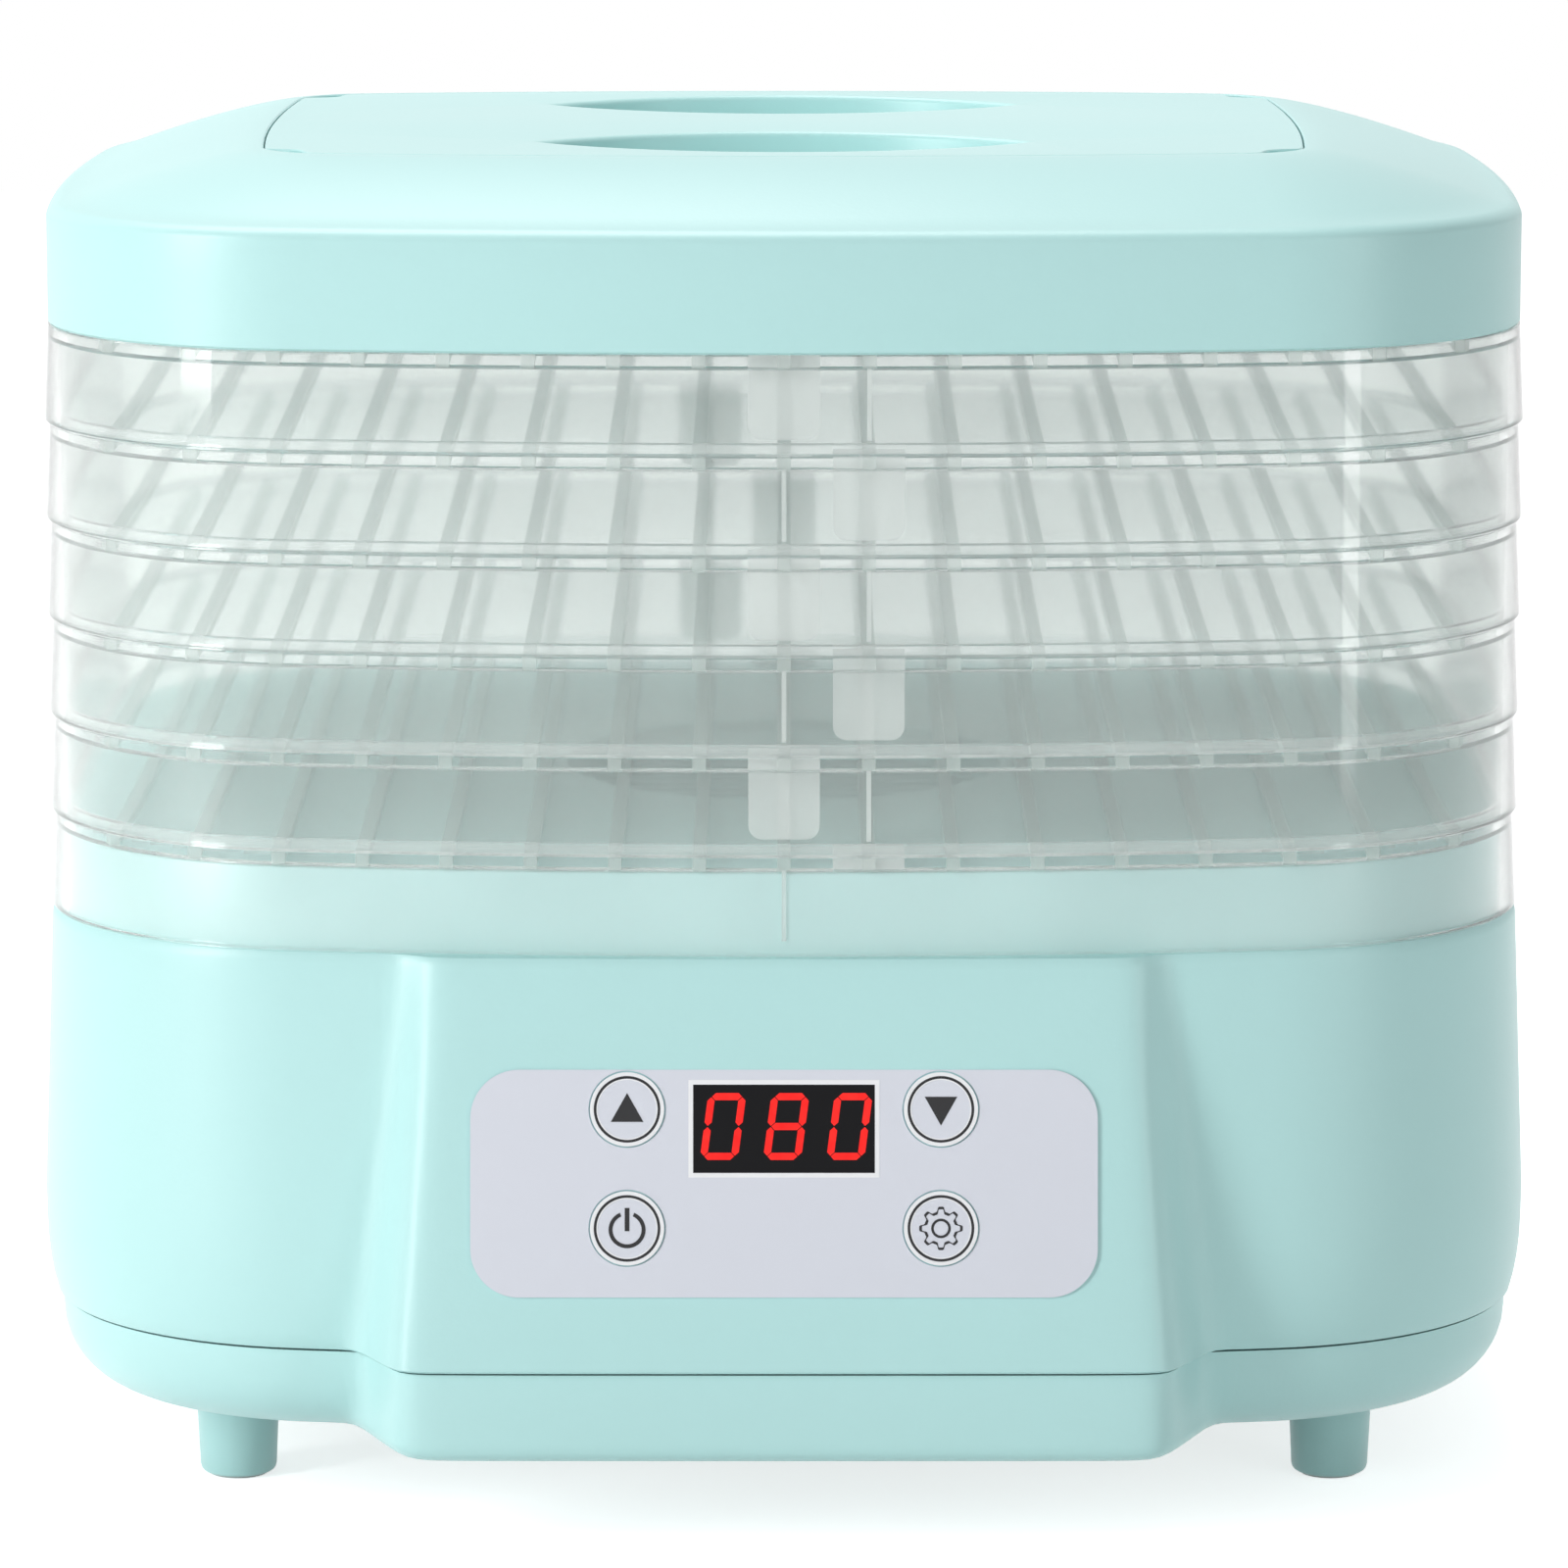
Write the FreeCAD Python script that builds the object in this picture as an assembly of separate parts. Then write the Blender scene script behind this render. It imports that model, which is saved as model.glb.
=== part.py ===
"""Stacking food dehydrator: a base with fan, heater and controls, six clear trays and a lid.

Millimetres, +Z up, +X to the right as the user faces the controls, front towards -Y.
The pieces are built about the axis of the tray stack, and export() moves them so that the
origin is the bottom centre of the whole object.
"""
import FreeCAD, Part
import math
import os
from FreeCAD import Placement, Rotation, Vector

# Plan shape shared by the lid, the trays and the base
STACK_WIDTH = 330.0        # across the trays, at the middle of the sides
STACK_DEPTH = 270.0        # front to back, at the middle
FRONT_BOW = 736.0          # radius of the front and back edges
SIDE_BOW = 1000.0          # radius of the sides
CORNER_R = 65.0

# Levels, measured from the table
TRAY_COUNT = 6
TRAY_PITCH = 21.7
SHOULDER_Z = 129.8         # where the lowest tray rests on the base
SEAM_Z = 41.5              # joint between the two halves of the base
FLOOR_Z = 21.0             # underside of the lower housing

# Walls and fits
WALL = 2.5                 # base mouldings
SKIRT_WALL = 2.0           # trays and lid
SEAT_GAP = 0.5             # between a skirt and the lip or collar inside it
FIT = 0.3                  # between neighbours that move or drop in
SCREW_FIT = 0.05           # between a screw and its hole
BEARING_GAP = 0.04         # radial, shaft in bush

# Trays
TRAY_FLOOR = 3.1
SKIRT_FLARE = 1.0          # how far the skirt leans out at its foot
LIP_HEIGHT = 2.5
LIP_WALL = 1.2
SLAT_PITCH = 18.2
SLAT_WIDTH = 2.9
CROSS_PITCH = 45.0         # between the bars that tie the slats together
GRID_MARGIN = 7.0          # solid border of the floor inside the lip
TAB_WIDTH = 15.4
TAB_HEIGHT = 16.4
TAB_WALL = 1.6
TAB_RIB = 2.4
TAB_RIB_DEPTH = 5.0
TAB_INSET = 9.0            # from the outline at the middle of the front edge
TAB_CORNER = 3.0
INDEX_RIB = 1.0
INDEX_RIB_DEPTH = 2.5

# Lid
LID_HEIGHT = 38.0
LID_SKIRT = 23.5           # height of the upright part
LID_EDGE_R = 5.0
PLATEAU_INSET = 46.5       # from the outline to the flat top
PANEL_WALL = 2.0
PANEL_LEDGE = 7.0          # width of the shell's ledge under the handle panel
POCKET_LENGTH = 108.0
POCKET_WIDTH = 50.0
POCKET_DEPTH = 17.0
GRIP_BAR = 50.0            # between the two finger pockets
POCKET_DRAFT = 2.5
VENT_WIDTH = 4.5
VENT_SWEEP = 60.0          # degrees of each corner's crescent
LID_SCREW_R = 1.5
LID_BOSS_R = 4.0

# Base
DECK_GAP = 0.5             # between the deck and the lowest tray's floor
FLARE = 3.4                # how far the sides stand out at their widest
FLARE_Z = 65.0
SEAM_OUT = 1.0             # how far the upper housing stands out at the seam
LOWER_STEP = 1.0           # the lower housing's edge lies this far inside that
LOWER_EDGE_R = 17.0
BULGE_SLOPE = 10.0         # degrees that the control face leans back
BULGE_TOP_HALF = 77.0
BULGE_FOOT_HALF = 84.0
BULGE_TOP_ROOT = 80.0      # half-width where the bulge meets the wall
BULGE_FOOT_ROOT = 94.0
BULGE_CORNER_R = 9.0
BULGE_LOWER_HALF = 83.5
BULGE_LOWER_ROOT = 90.0
BULGE_LOWER_STEP = 1.6     # the lower part of the bulge lies this far behind the face
BULGE_LOWER_TAPER = 1.5    # its draft, each side, from the seam to the floor
FOOT_X = 123.0
FOOT_Y = 75.0
FOOT_TOP_R = 9.4
FOOT_TIP_R = 8.5
FOOT_EDGE_R = 1.5
FOOT_BORE_R = 4.0
PAD_R = 6.5
PAD_HEIGHT = 1.5
PAD_PROUD = 0.5
POST_R = 6.0
SCREW_R = 1.75
SCREW_HEAD_R = 3.4
SCREW_HEAD = 2.4
SCREW_SEAT_Z = 15.0        # level of the screw heads inside the feet
SCREW_GRIP = 14.0          # thread length inside the upper housing's columns
SLOT_FIT = 1.0             # around a tray's tab in its deck slot

# Air path
OUTLET_R = 50.0            # opening in the deck
DUCT_MARGIN = 3.0          # how much wider than the outlet the duct is, radially
DUCT_R = OUTLET_R + DUCT_MARGIN
DUCT_WALL = 2.0
DUCT_FOOT_Z = 62.0
DUCT_EAR_R = 4.5
DUCT_EAR_DROP = 10.0
GRILLE_WALL = 2.4
GRILLE_DROP = 7.5          # from the deck down to the slotted plate
GRILLE_SLOT = 4.0
GRILLE_BAR = 3.0
INLET_FROM_R = 33.0
INLET_TO_R = 58.0
INLET_SLOTS = 12
INLET_SLOT = 5.0
HEATER_Z = 118.0
HEATER_BOARD = 1.2
HEATER_HEIGHT = 20.0
HEATER_RINGS = (18.0, 30.0, 42.0)
HEATER_WIRE_R = 1.6
CUTOUT_WIDTH = 12.0
CUTOUT_HEIGHT = 16.0
CUTOUT_DEPTH = 6.0

# Fan and motor
SHAFT_R = 2.0
SHAFT_FOOT_Z = 32.0
SHAFT_TOP_Z = 93.0
MOTOR_SIZE = 52.0
MOTOR_SCREW_AT = 20.0
MOTOR_SCREW_R = 1.5
MOTOR_PLATE = 2.0
MOTOR_FOOT_Z = 34.0
MOTOR_SPACER = 6.0
MOTOR_SPACER_R = 4.0
STATOR_HEIGHT = 18.0
ROTOR_R = 12.0
ROTOR_AIR_GAP = 0.4
COIL_WALL = 7.0
BUSH_R = 5.0
BUSH_HEIGHT = 5.0
HUB_R = 12.0
HUB_HEIGHT = 16.0
HUB_Z = 76.0
BLADE_COUNT = 7
BLADE_TIP_GAP = 3.0        # to the duct
BLADE_R = DUCT_R - BLADE_TIP_GAP
BLADE_PITCH = 32.0
BLADE_WALL = 1.8
BLADE_CHORD = 22.0

# Control panel, in its own plane: across, up the slope, and out of the face
PANEL_Z = 82.0             # level of the panel's middle
OVERLAY_WIDTH = 135.0
OVERLAY_HEIGHT = 49.0
OVERLAY_CORNER_R = 10.5
OVERLAY_WALL = 0.4
KEY_R = 8.0
KEY_ACROSS = 33.75
KEY_UP = 16.0
KEY_DOWN = -9.6
KEY_PROUD = 0.3
KEY_TRAVEL = 0.4
KEY_FLANGE = 1.2
KEY_FLANGE_R = 9.4
KEY_STEM_R = 2.5
DISPLAY_WIDTH = 39.3
DISPLAY_HEIGHT = 19.2
DISPLAY_UP = 11.8
BOARD_DROP = 12.0          # from the face to the board's front
BOARD_WALL = 1.6
BOARD_WIDTH = 126.0
BOARD_HEIGHT = 46.0
BOARD_SCREW_X = 56.0
BOARD_SCREW_Y = 18.0
BOARD_BOSS_R = 3.5
SWITCH_SIZE = 6.0
SWITCH_HEIGHT = 4.3
SCREW_SMALL_R = 1.25

# Cord bushing in the rear wall
GLAND_R = 6.0
GLAND_BORE_R = 3.6
GLAND_LENGTH = 16.0
GLAND_FLANGE_R = 8.5
GLAND_FLANGE = 2.0
GLAND_PROUD = 1.0
GLAND_SEAT = 0.9           # the inner flange clears the bowed wall by this at its middle
GLAND_X = 60.0
GLAND_Z = 62.0

# Worked out from the values above
HALF_WIDTH = STACK_WIDTH / 2
HALF_DEPTH = STACK_DEPTH / 2
STACK_TOP_Z = SHOULDER_Z + TRAY_COUNT * TRAY_PITCH
LID_TOP_Z = STACK_TOP_Z + LID_HEIGHT
COLLAR_INSET = SKIRT_WALL + SEAT_GAP
DECK_Z = SHOULDER_Z + TRAY_PITCH - TRAY_FLOOR - DECK_GAP
DECK_UNDER_Z = DECK_Z - WALL
BULGE_LEAN = math.tan(math.radians(BULGE_SLOPE))
BULGE_REACH = HALF_DEPTH + SEAM_OUT + (SHOULDER_Z - SEAM_Z) * BULGE_LEAN
REAR_REACH = HALF_DEPTH + FLARE
ORIGIN_SHIFT = (BULGE_REACH - REAR_REACH) / 2
FLOOR_TOP_Z = FLOOR_Z + WALL
STATOR_Z = MOTOR_FOOT_Z + MOTOR_PLATE + MOTOR_SPACER
UPPER_PLATE_Z = STATOR_Z + STATOR_HEIGHT + MOTOR_SPACER
SLOPE = math.radians(BULGE_SLOPE)


def corner_centre():
    """Centre of the corner fillet in the +X +Y quarter; the same point for every inset."""
    front_y = HALF_DEPTH - FRONT_BOW
    side_x = HALF_WIDTH - SIDE_BOW
    reach_front = FRONT_BOW - CORNER_R
    reach_side = SIDE_BOW - CORNER_R
    x = HALF_WIDTH - CORNER_R
    y = HALF_DEPTH - CORNER_R
    for _ in range(60):
        y = front_y + math.sqrt(reach_front ** 2 - x ** 2)
        x = side_x + math.sqrt(reach_side ** 2 - y ** 2)
    return x, y


CORNER_X, CORNER_Y = corner_centre()


def quarter_points(inset):
    """Middle of the side, side tangent, corner middle, front tangent and middle of the front."""
    radius = CORNER_R - inset
    side_x = HALF_WIDTH - SIDE_BOW
    front_y = HALF_DEPTH - FRONT_BOW
    side_angle = math.atan2(CORNER_Y, CORNER_X - side_x)
    front_angle = math.atan2(CORNER_Y - front_y, CORNER_X)
    angles = (side_angle, (side_angle + front_angle) / 2, front_angle)
    corner = [(CORNER_X + radius * math.cos(a), CORNER_Y + radius * math.sin(a)) for a in angles]
    return [(HALF_WIDTH - inset, 0.0)] + corner + [(0.0, HALF_DEPTH - inset)]


def outline(inset, z):
    """Closed wire of the stack's plan shape, drawn in by inset, at level z."""
    side, side_end, corner, front_end, front = quarter_points(inset)

    def at(point, sx, sy):
        return Vector(sx * point[0], sy * point[1], z)

    def arc(a, b, c):
        return Part.Arc(a, b, c).toShape()

    edges = [
        arc(at(side_end, 1, -1), at(side, 1, 1), at(side_end, 1, 1)),
        arc(at(side_end, 1, 1), at(corner, 1, 1), at(front_end, 1, 1)),
        arc(at(front_end, 1, 1), at(front, 1, 1), at(front_end, -1, 1)),
        arc(at(front_end, -1, 1), at(corner, -1, 1), at(side_end, -1, 1)),
        arc(at(side_end, -1, 1), at(side, -1, 1), at(side_end, -1, -1)),
        arc(at(side_end, -1, -1), at(corner, -1, -1), at(front_end, -1, -1)),
        arc(at(front_end, -1, -1), at(front, 1, -1), at(front_end, 1, -1)),
        arc(at(front_end, 1, -1), at(corner, 1, -1), at(side_end, 1, -1)),
    ]
    return Part.Wire(edges)


def loft(levels):
    """Solid through the plan shape at each (inset, z) of levels."""
    return Part.makeLoft([outline(inset, z) for inset, z in levels], True, True)


def prism(inset, z0, z1):
    return Part.Face(outline(inset, z0)).extrude(Vector(0, 0, z1 - z0))


def free_depth(x, inset):
    """Half the front-to-back length at x of the plan shape drawn in by inset."""
    x = abs(x)
    if x > HALF_WIDTH - inset:
        return 0.0
    front = HALF_DEPTH - FRONT_BOW + math.sqrt((FRONT_BOW - inset) ** 2 - x ** 2)
    if x < CORNER_X:
        return front
    radius = CORNER_R - inset
    across = x - CORNER_X
    if across >= radius:
        return 0.0
    return min(front, CORNER_Y + math.sqrt(radius ** 2 - across ** 2))


def box(x0, x1, y0, y1, z0, z1):
    return Part.makeBox(x1 - x0, y1 - y0, z1 - z0, Vector(x0, y0, z0))


def cylinder(radius, x, y, z0, z1):
    return Part.makeCylinder(radius, z1 - z0, Vector(x, y, z0))


def polygon(points):
    return Part.makePolygon([Vector(*p) for p in points] + [Vector(*points[0])])


def corners(x, y):
    return [(sx * x, sy * y) for sx in (-1, 1) for sy in (-1, 1)]


def joined(first, others):
    return first.multiFuse(others).removeSplitter()


def screw(radius, head_r, head, x, y, seat_z, tip_z):
    """Screw whose head bears on seat_z and whose shank ends at tip_z."""
    away = -1 if tip_z > seat_z else 1
    head_solid = cylinder(head_r, x, y, min(seat_z, seat_z + away * head), max(seat_z, seat_z + away * head))
    shank = cylinder(radius, x, y, min(seat_z, tip_z), max(seat_z, tip_z))
    return head_solid.fuse(shank).removeSplitter()


# Trays

def tray_floor(z_top):
    """Slotted floor: one plate with a window for each cell of the grid."""
    z0 = z_top - TRAY_FLOOR
    edge = COLLAR_INSET + LIP_WALL + GRID_MARGIN
    wires = [outline(SKIRT_WALL / 2, z0)]
    columns = int(HALF_WIDTH / SLAT_PITCH) + 1
    rows = int(HALF_DEPTH / CROSS_PITCH) + 1
    for i in range(-columns, columns):
        x0 = i * SLAT_PITCH + SLAT_WIDTH / 2
        x1 = x0 + SLAT_PITCH - SLAT_WIDTH
        reach = min(free_depth(x0, edge), free_depth(x1, edge))
        for j in range(-rows, rows):
            y0 = max(j * CROSS_PITCH + SLAT_WIDTH / 2, -reach)
            y1 = min((j + 1) * CROSS_PITCH - SLAT_WIDTH / 2, reach)
            if y1 - y0 > SLAT_WIDTH:
                wires.append(polygon([(x0, y1, z0), (x1, y1, z0), (x1, y0, z0), (x0, y0, z0)]))
    plate = Part.Face(wires, "Part::FaceMakerBullseye")
    return plate.extrude(Vector(0, 0, TRAY_FLOOR))


def tab(x, side, z_under, grow=0.0):
    """Hanging T-section tab at x, on the front (side -1) or back (side 1) edge."""
    y = side * (HALF_DEPTH - TAB_INSET)
    half = TAB_WIDTH / 2 + grow
    low = z_under - TAB_HEIGHT - grow
    plate = box(x - half, x + half, y - TAB_WALL / 2 - grow, y + TAB_WALL / 2 + grow, low, z_under)
    if not grow:
        lower = [e for e in plate.Edges if e.BoundBox.ZMax < low + 0.01 and e.BoundBox.XLength < 0.01]
        plate = plate.makeFillet(TAB_CORNER, lower)
    rib_end = y - side * (TAB_RIB_DEPTH + grow)
    half_rib = TAB_RIB / 2 + grow
    rib = box(x - half_rib, x + half_rib, min(y, rib_end), max(y, rib_end), low, z_under)
    return plate.fuse(rib)


def index_rib(x, side, z_under, z_foot, grow=0.0):
    """Thin upright rib on the skirt's inner face, or the slot for one where it is grown."""
    y = side * (HALF_DEPTH - SKIRT_WALL / 2)
    end = y - side * (SKIRT_WALL / 2 + INDEX_RIB_DEPTH + grow)
    half = INDEX_RIB / 2 + grow
    return box(x - half, x + half, min(y, end), max(y, end), z_foot, z_under)


def make_tray(z_top):
    """Tray with its grid floor on top, the clear skirt below and a lip for the tray above."""
    z_under = z_top - TRAY_FLOOR
    z_foot = z_top - TRAY_PITCH
    skirt = loft([(-SKIRT_FLARE, z_foot), (0, z_top)]).cut(prism(SKIRT_WALL, z_foot, z_under))
    hollow = prism(SKIRT_WALL, z_under - 1, z_top + 1)
    skirt = skirt.cut(hollow)
    lip = prism(COLLAR_INSET, z_top - TRAY_FLOOR / 2, z_top + LIP_HEIGHT)
    lip = lip.cut(prism(COLLAR_INSET + LIP_WALL, z_under, z_top + LIP_HEIGHT + 1))
    rib_foot = z_foot + LIP_HEIGHT + FIT
    extras = [
        lip,
        tab(0, -1, z_under),
        tab(-SLAT_PITCH, 1, z_under),
        index_rib(SLAT_PITCH, -1, z_under, rib_foot),
        index_rib(0, 1, z_under, rib_foot),
    ]
    return joined(tray_floor(z_top), [skirt] + extras)


def trays():
    """Equal trays; the lowest and every second one up are turned so that the tabs alternate."""
    first = make_tray(STACK_TOP_Z)
    nodes = {}
    for i in range(TRAY_COUNT):
        copy = first.copy()
        if (TRAY_COUNT - i) % 2:
            copy.rotate(Vector(0, 0, 0), Vector(0, 0, 1), 180)
        copy.translate(Vector(0, 0, -i * TRAY_PITCH))
        nodes["tray_%d" % (i + 1)] = copy
    return nodes


# Lid

def lid_levels(offset):
    """(inset, z) levels of the lid's outer face, moved in by offset."""
    z_edge = STACK_TOP_Z + LID_SKIRT
    rise = LID_TOP_Z - z_edge - LID_EDGE_R * 0.6
    levels = [(offset, STACK_TOP_Z)]
    for step in range(4):
        angle = math.radians(25 * step)
        inset = LID_EDGE_R * (1 - math.cos(angle)) + offset
        levels.append((inset, z_edge + LID_EDGE_R * math.sin(angle) * 0.6 - offset * 0.9))
    for step in range(1, 7):
        share = step / 6
        inset = LID_EDGE_R + (PLATEAU_INSET - LID_EDGE_R) * share + offset * 0.5
        bulge = 1 - (1 - share) ** 1.35
        levels.append((inset, z_edge + LID_EDGE_R * 0.6 + rise * bulge - offset * 1.0))
    return levels


def lens_pocket(side, drop, grow):
    """Solid of one finger pocket: two arcs in plan, narrower at the bottom."""
    wires = []
    middle = side * (GRIP_BAR + POCKET_WIDTH) / 2
    for depth, shrink in ((-1.0, 0.0), (drop, POCKET_DRAFT)):
        half = POCKET_LENGTH / 2 + grow - shrink
        wide = POCKET_WIDTH / 2 + grow - shrink
        z = LID_TOP_Z - depth
        left = Vector(-half, middle, z)
        right = Vector(half, middle, z)
        near = Part.Arc(left, Vector(0, middle - wide, z), right).toShape()
        far = Part.Arc(right, Vector(0, middle + wide, z), left).toShape()
        wires.append(Part.Wire([near, far]))
    return Part.makeLoft(wires, True, True)


def vent_slot(sx, sy):
    """Crescent vent at one corner of the plateau, cut through the shell."""
    outer = CORNER_R - PLATEAU_INSET
    start = 45 - VENT_SWEEP / 2
    ring = Part.makeCylinder(outer + FIT, 3 * WALL, Vector(0, 0, 0), Vector(0, 0, 1), VENT_SWEEP)
    hub = Part.makeCylinder(outer - VENT_WIDTH, 3 * WALL, Vector(0, 0, 0), Vector(0, 0, 1), VENT_SWEEP)
    slot = ring.cut(hub)
    slot.rotate(Vector(0, 0, 0), Vector(0, 0, 1), start)
    if sx < 0:
        slot = slot.mirror(Vector(0, 0, 0), Vector(1, 0, 0))
    if sy < 0:
        slot = slot.mirror(Vector(0, 0, 0), Vector(0, 1, 0))
    slot.translate(Vector(sx * CORNER_X, sy * CORNER_Y, LID_TOP_Z - 2 * WALL))
    return slot


def lid_screw_places():
    reach = PLATEAU_INSET + PANEL_LEDGE + LID_BOSS_R
    return [(sx * (HALF_WIDTH - reach), 0) for sx in (-1, 1)]


def lid_shell():
    """Upright skirt and sloping top, open in the middle with a ledge for the handle panel."""
    outer = loft(lid_levels(0))
    inner = loft([(SKIRT_WALL, STACK_TOP_Z - 1)] + lid_levels(SKIRT_WALL)[1:])
    shell = outer.cut(inner)
    seat = prism(PLATEAU_INSET, LID_TOP_Z - PANEL_WALL, LID_TOP_Z + 1)
    ledge = prism(PLATEAU_INSET - 2, LID_TOP_Z - PANEL_WALL - SKIRT_WALL, LID_TOP_Z - PANEL_WALL)
    opening = prism(PLATEAU_INSET + PANEL_LEDGE, LID_TOP_Z - 3 * WALL, LID_TOP_Z + 1)
    shell = shell.fuse(ledge).cut(seat).cut(opening)
    for x, y in lid_screw_places():
        boss = cylinder(LID_BOSS_R, x, y, LID_TOP_Z - PANEL_WALL - SKIRT_WALL, LID_TOP_Z - PANEL_WALL)
        arm = box(min(x, x * 1.12), max(x, x * 1.12), -LID_BOSS_R, LID_BOSS_R,
                  LID_TOP_Z - PANEL_WALL - SKIRT_WALL, LID_TOP_Z - PANEL_WALL)
        hole = cylinder(LID_SCREW_R + SCREW_FIT, x, y, LID_TOP_Z - 10, LID_TOP_Z)
        shell = shell.fuse(boss).fuse(arm).cut(hole)
    for sx, sy in corners(1, 1):
        shell = shell.cut(vent_slot(sx, sy))
    return shell.removeSplitter()


def lid_handle_panel():
    """Flat top panel with the two finger pockets; the bar left between them is the handle."""
    panel = prism(PLATEAU_INSET + FIT / 2, LID_TOP_Z - PANEL_WALL, LID_TOP_Z)
    for side in (-1, 1):
        cup = lens_pocket(side, POCKET_DEPTH + PANEL_WALL, PANEL_WALL)
        cup = cup.common(prism(PLATEAU_INSET + FIT, LID_TOP_Z - 40, LID_TOP_Z))
        panel = panel.fuse(cup)
    for side in (-1, 1):
        panel = panel.cut(lens_pocket(side, POCKET_DEPTH, 0))
    under = LID_TOP_Z - PANEL_WALL
    for x, y in lid_screw_places():
        panel = panel.fuse(cylinder(LID_SCREW_R + 0.8, x, y, under, under + PANEL_WALL / 2))
        panel = panel.cut(cylinder(LID_SCREW_R + SCREW_FIT, x, y, under - 1, under + PANEL_WALL / 2))
    for sx, sy in corners(1, 1):
        panel = panel.cut(vent_slot(sx, sy))
    return panel.removeSplitter()


def lid_screws():
    seat = LID_TOP_Z - PANEL_WALL - SKIRT_WALL
    tip = LID_TOP_Z - PANEL_WALL / 2 - SCREW_FIT
    return [screw(LID_SCREW_R, 2 * LID_SCREW_R, 2, x, y, seat, tip) for x, y in lid_screw_places()]


# Housings of the base

def upper_levels(offset):
    """(inset, z) levels of the upper housing's outer face, moved in by offset."""
    return [
        (-SEAM_OUT + offset, SEAM_Z),
        (-FLARE * 0.62 + offset, SEAM_Z + 5),
        (-FLARE * 0.88 + offset, SEAM_Z + 11),
        (-FLARE + offset, FLARE_Z),
        (-SEAM_OUT + offset, SHOULDER_Z - 4),
        (-SEAM_OUT * 0.5 + offset, SHOULDER_Z - offset),
    ]


def lower_levels(offset):
    """(inset, z) levels of the lower housing's outer face, moved in by offset."""
    edge = LOWER_STEP - SEAM_OUT + offset
    radius = LOWER_EDGE_R - offset
    levels = []
    for step in range(7):
        angle = math.radians(15 * step)
        inset = edge + radius * (1 - math.sin(angle))
        levels.append((inset, FLOOR_Z + offset + radius * (1 - math.cos(angle))))
    levels.append((edge, SEAM_Z))
    return levels


def face_y(z, depth=0.0):
    """Y of the control face at level z, or of a plane that lies depth behind it."""
    return -(HALF_DEPTH + SEAM_OUT + (SHOULDER_Z - z) * BULGE_LEAN) + depth / math.cos(SLOPE)


def bulge(offset, foot, top):
    """Solid of the control housing between two levels, with its two front edges rounded.

    Each level is its z, half-width, half-width at the wall and how far it lies behind the face.
    """
    sections = []
    fronts = []
    for z, half, root, step_back in (foot, top):
        front = face_y(z, offset) + step_back
        fronts.append(front)
        wall = -(HALF_DEPTH - root ** 2 / (2 * FRONT_BOW))
        back = wall + HALF_DEPTH / 4
        right = [(half - offset, front, z), (root - offset, wall, z), (root - offset, back, z)]
        left = [(-x, y, z) for x, y, _ in reversed(right)]
        sections.append(polygon(left + right))
    solid = Part.makeLoft(sections, True, True)
    middle = sum(fronts) / 2
    rounded = [
        e for e in solid.Edges
        if e.BoundBox.ZLength > (top[0] - foot[0]) * 0.9 and abs(e.CenterOfMass.y - middle) < 1
    ]
    return solid.makeFillet(BULGE_CORNER_R - offset, rounded)


def upper_bulge(offset, z0, z1):
    return bulge(offset, (z0, BULGE_FOOT_HALF, BULGE_FOOT_ROOT, 0), (z1, BULGE_TOP_HALF, BULGE_TOP_ROOT, 0))


def lower_bulge(offset, z0, z1):
    """Upright below the seam, where the face above it leans."""
    foot_step, top_step = (BULGE_LOWER_STEP + (SEAM_Z - z) * BULGE_LEAN for z in (z0, z1))
    foot = (z0, BULGE_LOWER_HALF - BULGE_LOWER_TAPER, BULGE_LOWER_ROOT - BULGE_LOWER_TAPER, foot_step)
    return bulge(offset, foot, (z1, BULGE_LOWER_HALF, BULGE_LOWER_ROOT, top_step))


def upper_housing():
    """Walls, shoulder, collar and deck of the base, with the control housing in front."""
    outer = loft(upper_levels(0)).fuse(upper_bulge(0, SEAM_Z, SHOULDER_Z - 1))
    inner = loft(upper_levels(WALL)).fuse(upper_bulge(WALL, SEAM_Z - 1, SHOULDER_Z - 1 - WALL))
    shell = outer.cut(inner)
    collar = prism(COLLAR_INSET, SHOULDER_Z - WALL, DECK_Z)
    hollow = prism(COLLAR_INSET + WALL, SHOULDER_Z - 2 * WALL, DECK_UNDER_Z)
    shell = shell.fuse(collar).cut(hollow)
    shell = shell.cut(cylinder(OUTLET_R, 0, 0, DECK_UNDER_Z - 1, DECK_Z + 1))
    columns = [cylinder(POST_R, x, y, SEAM_Z, DECK_UNDER_Z) for x, y in corners(FOOT_X, FOOT_Y)]
    ear_z = DECK_UNDER_Z - DUCT_EAR_DROP
    ears = [cylinder(DUCT_EAR_R, x, y, ear_z, DECK_UNDER_Z) for x, y in duct_ear_places()]
    shell = joined(shell, columns + ears + [on_panel(boss) for boss in board_bosses()])
    holes = [cylinder(SCREW_R + SCREW_FIT, x, y, SEAM_Z - 1, SEAM_Z + SCREW_GRIP + 2)
             for x, y in corners(FOOT_X, FOOT_Y)]
    holes += [cylinder(SCREW_SMALL_R + SCREW_FIT, x, y, ear_z - 1, DECK_UNDER_Z - 1)
              for x, y in duct_ear_places()]
    z_tab = SHOULDER_Z + TRAY_PITCH - TRAY_FLOOR
    holes += [tab(SLAT_PITCH, -1, z_tab, SLOT_FIT), tab(0, 1, z_tab, SLOT_FIT)]
    slot_z = SHOULDER_Z + LIP_HEIGHT - FIT
    holes += [index_rib(0, -1, z_tab, slot_z, FIT), index_rib(-SLAT_PITCH, 1, z_tab, slot_z, FIT)]
    holes += [on_panel(hole) for hole in panel_holes()]
    holes.append(gland_solid(GLAND_R, GLAND_LENGTH))
    return shell.cut(holes).removeSplitter()


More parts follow.
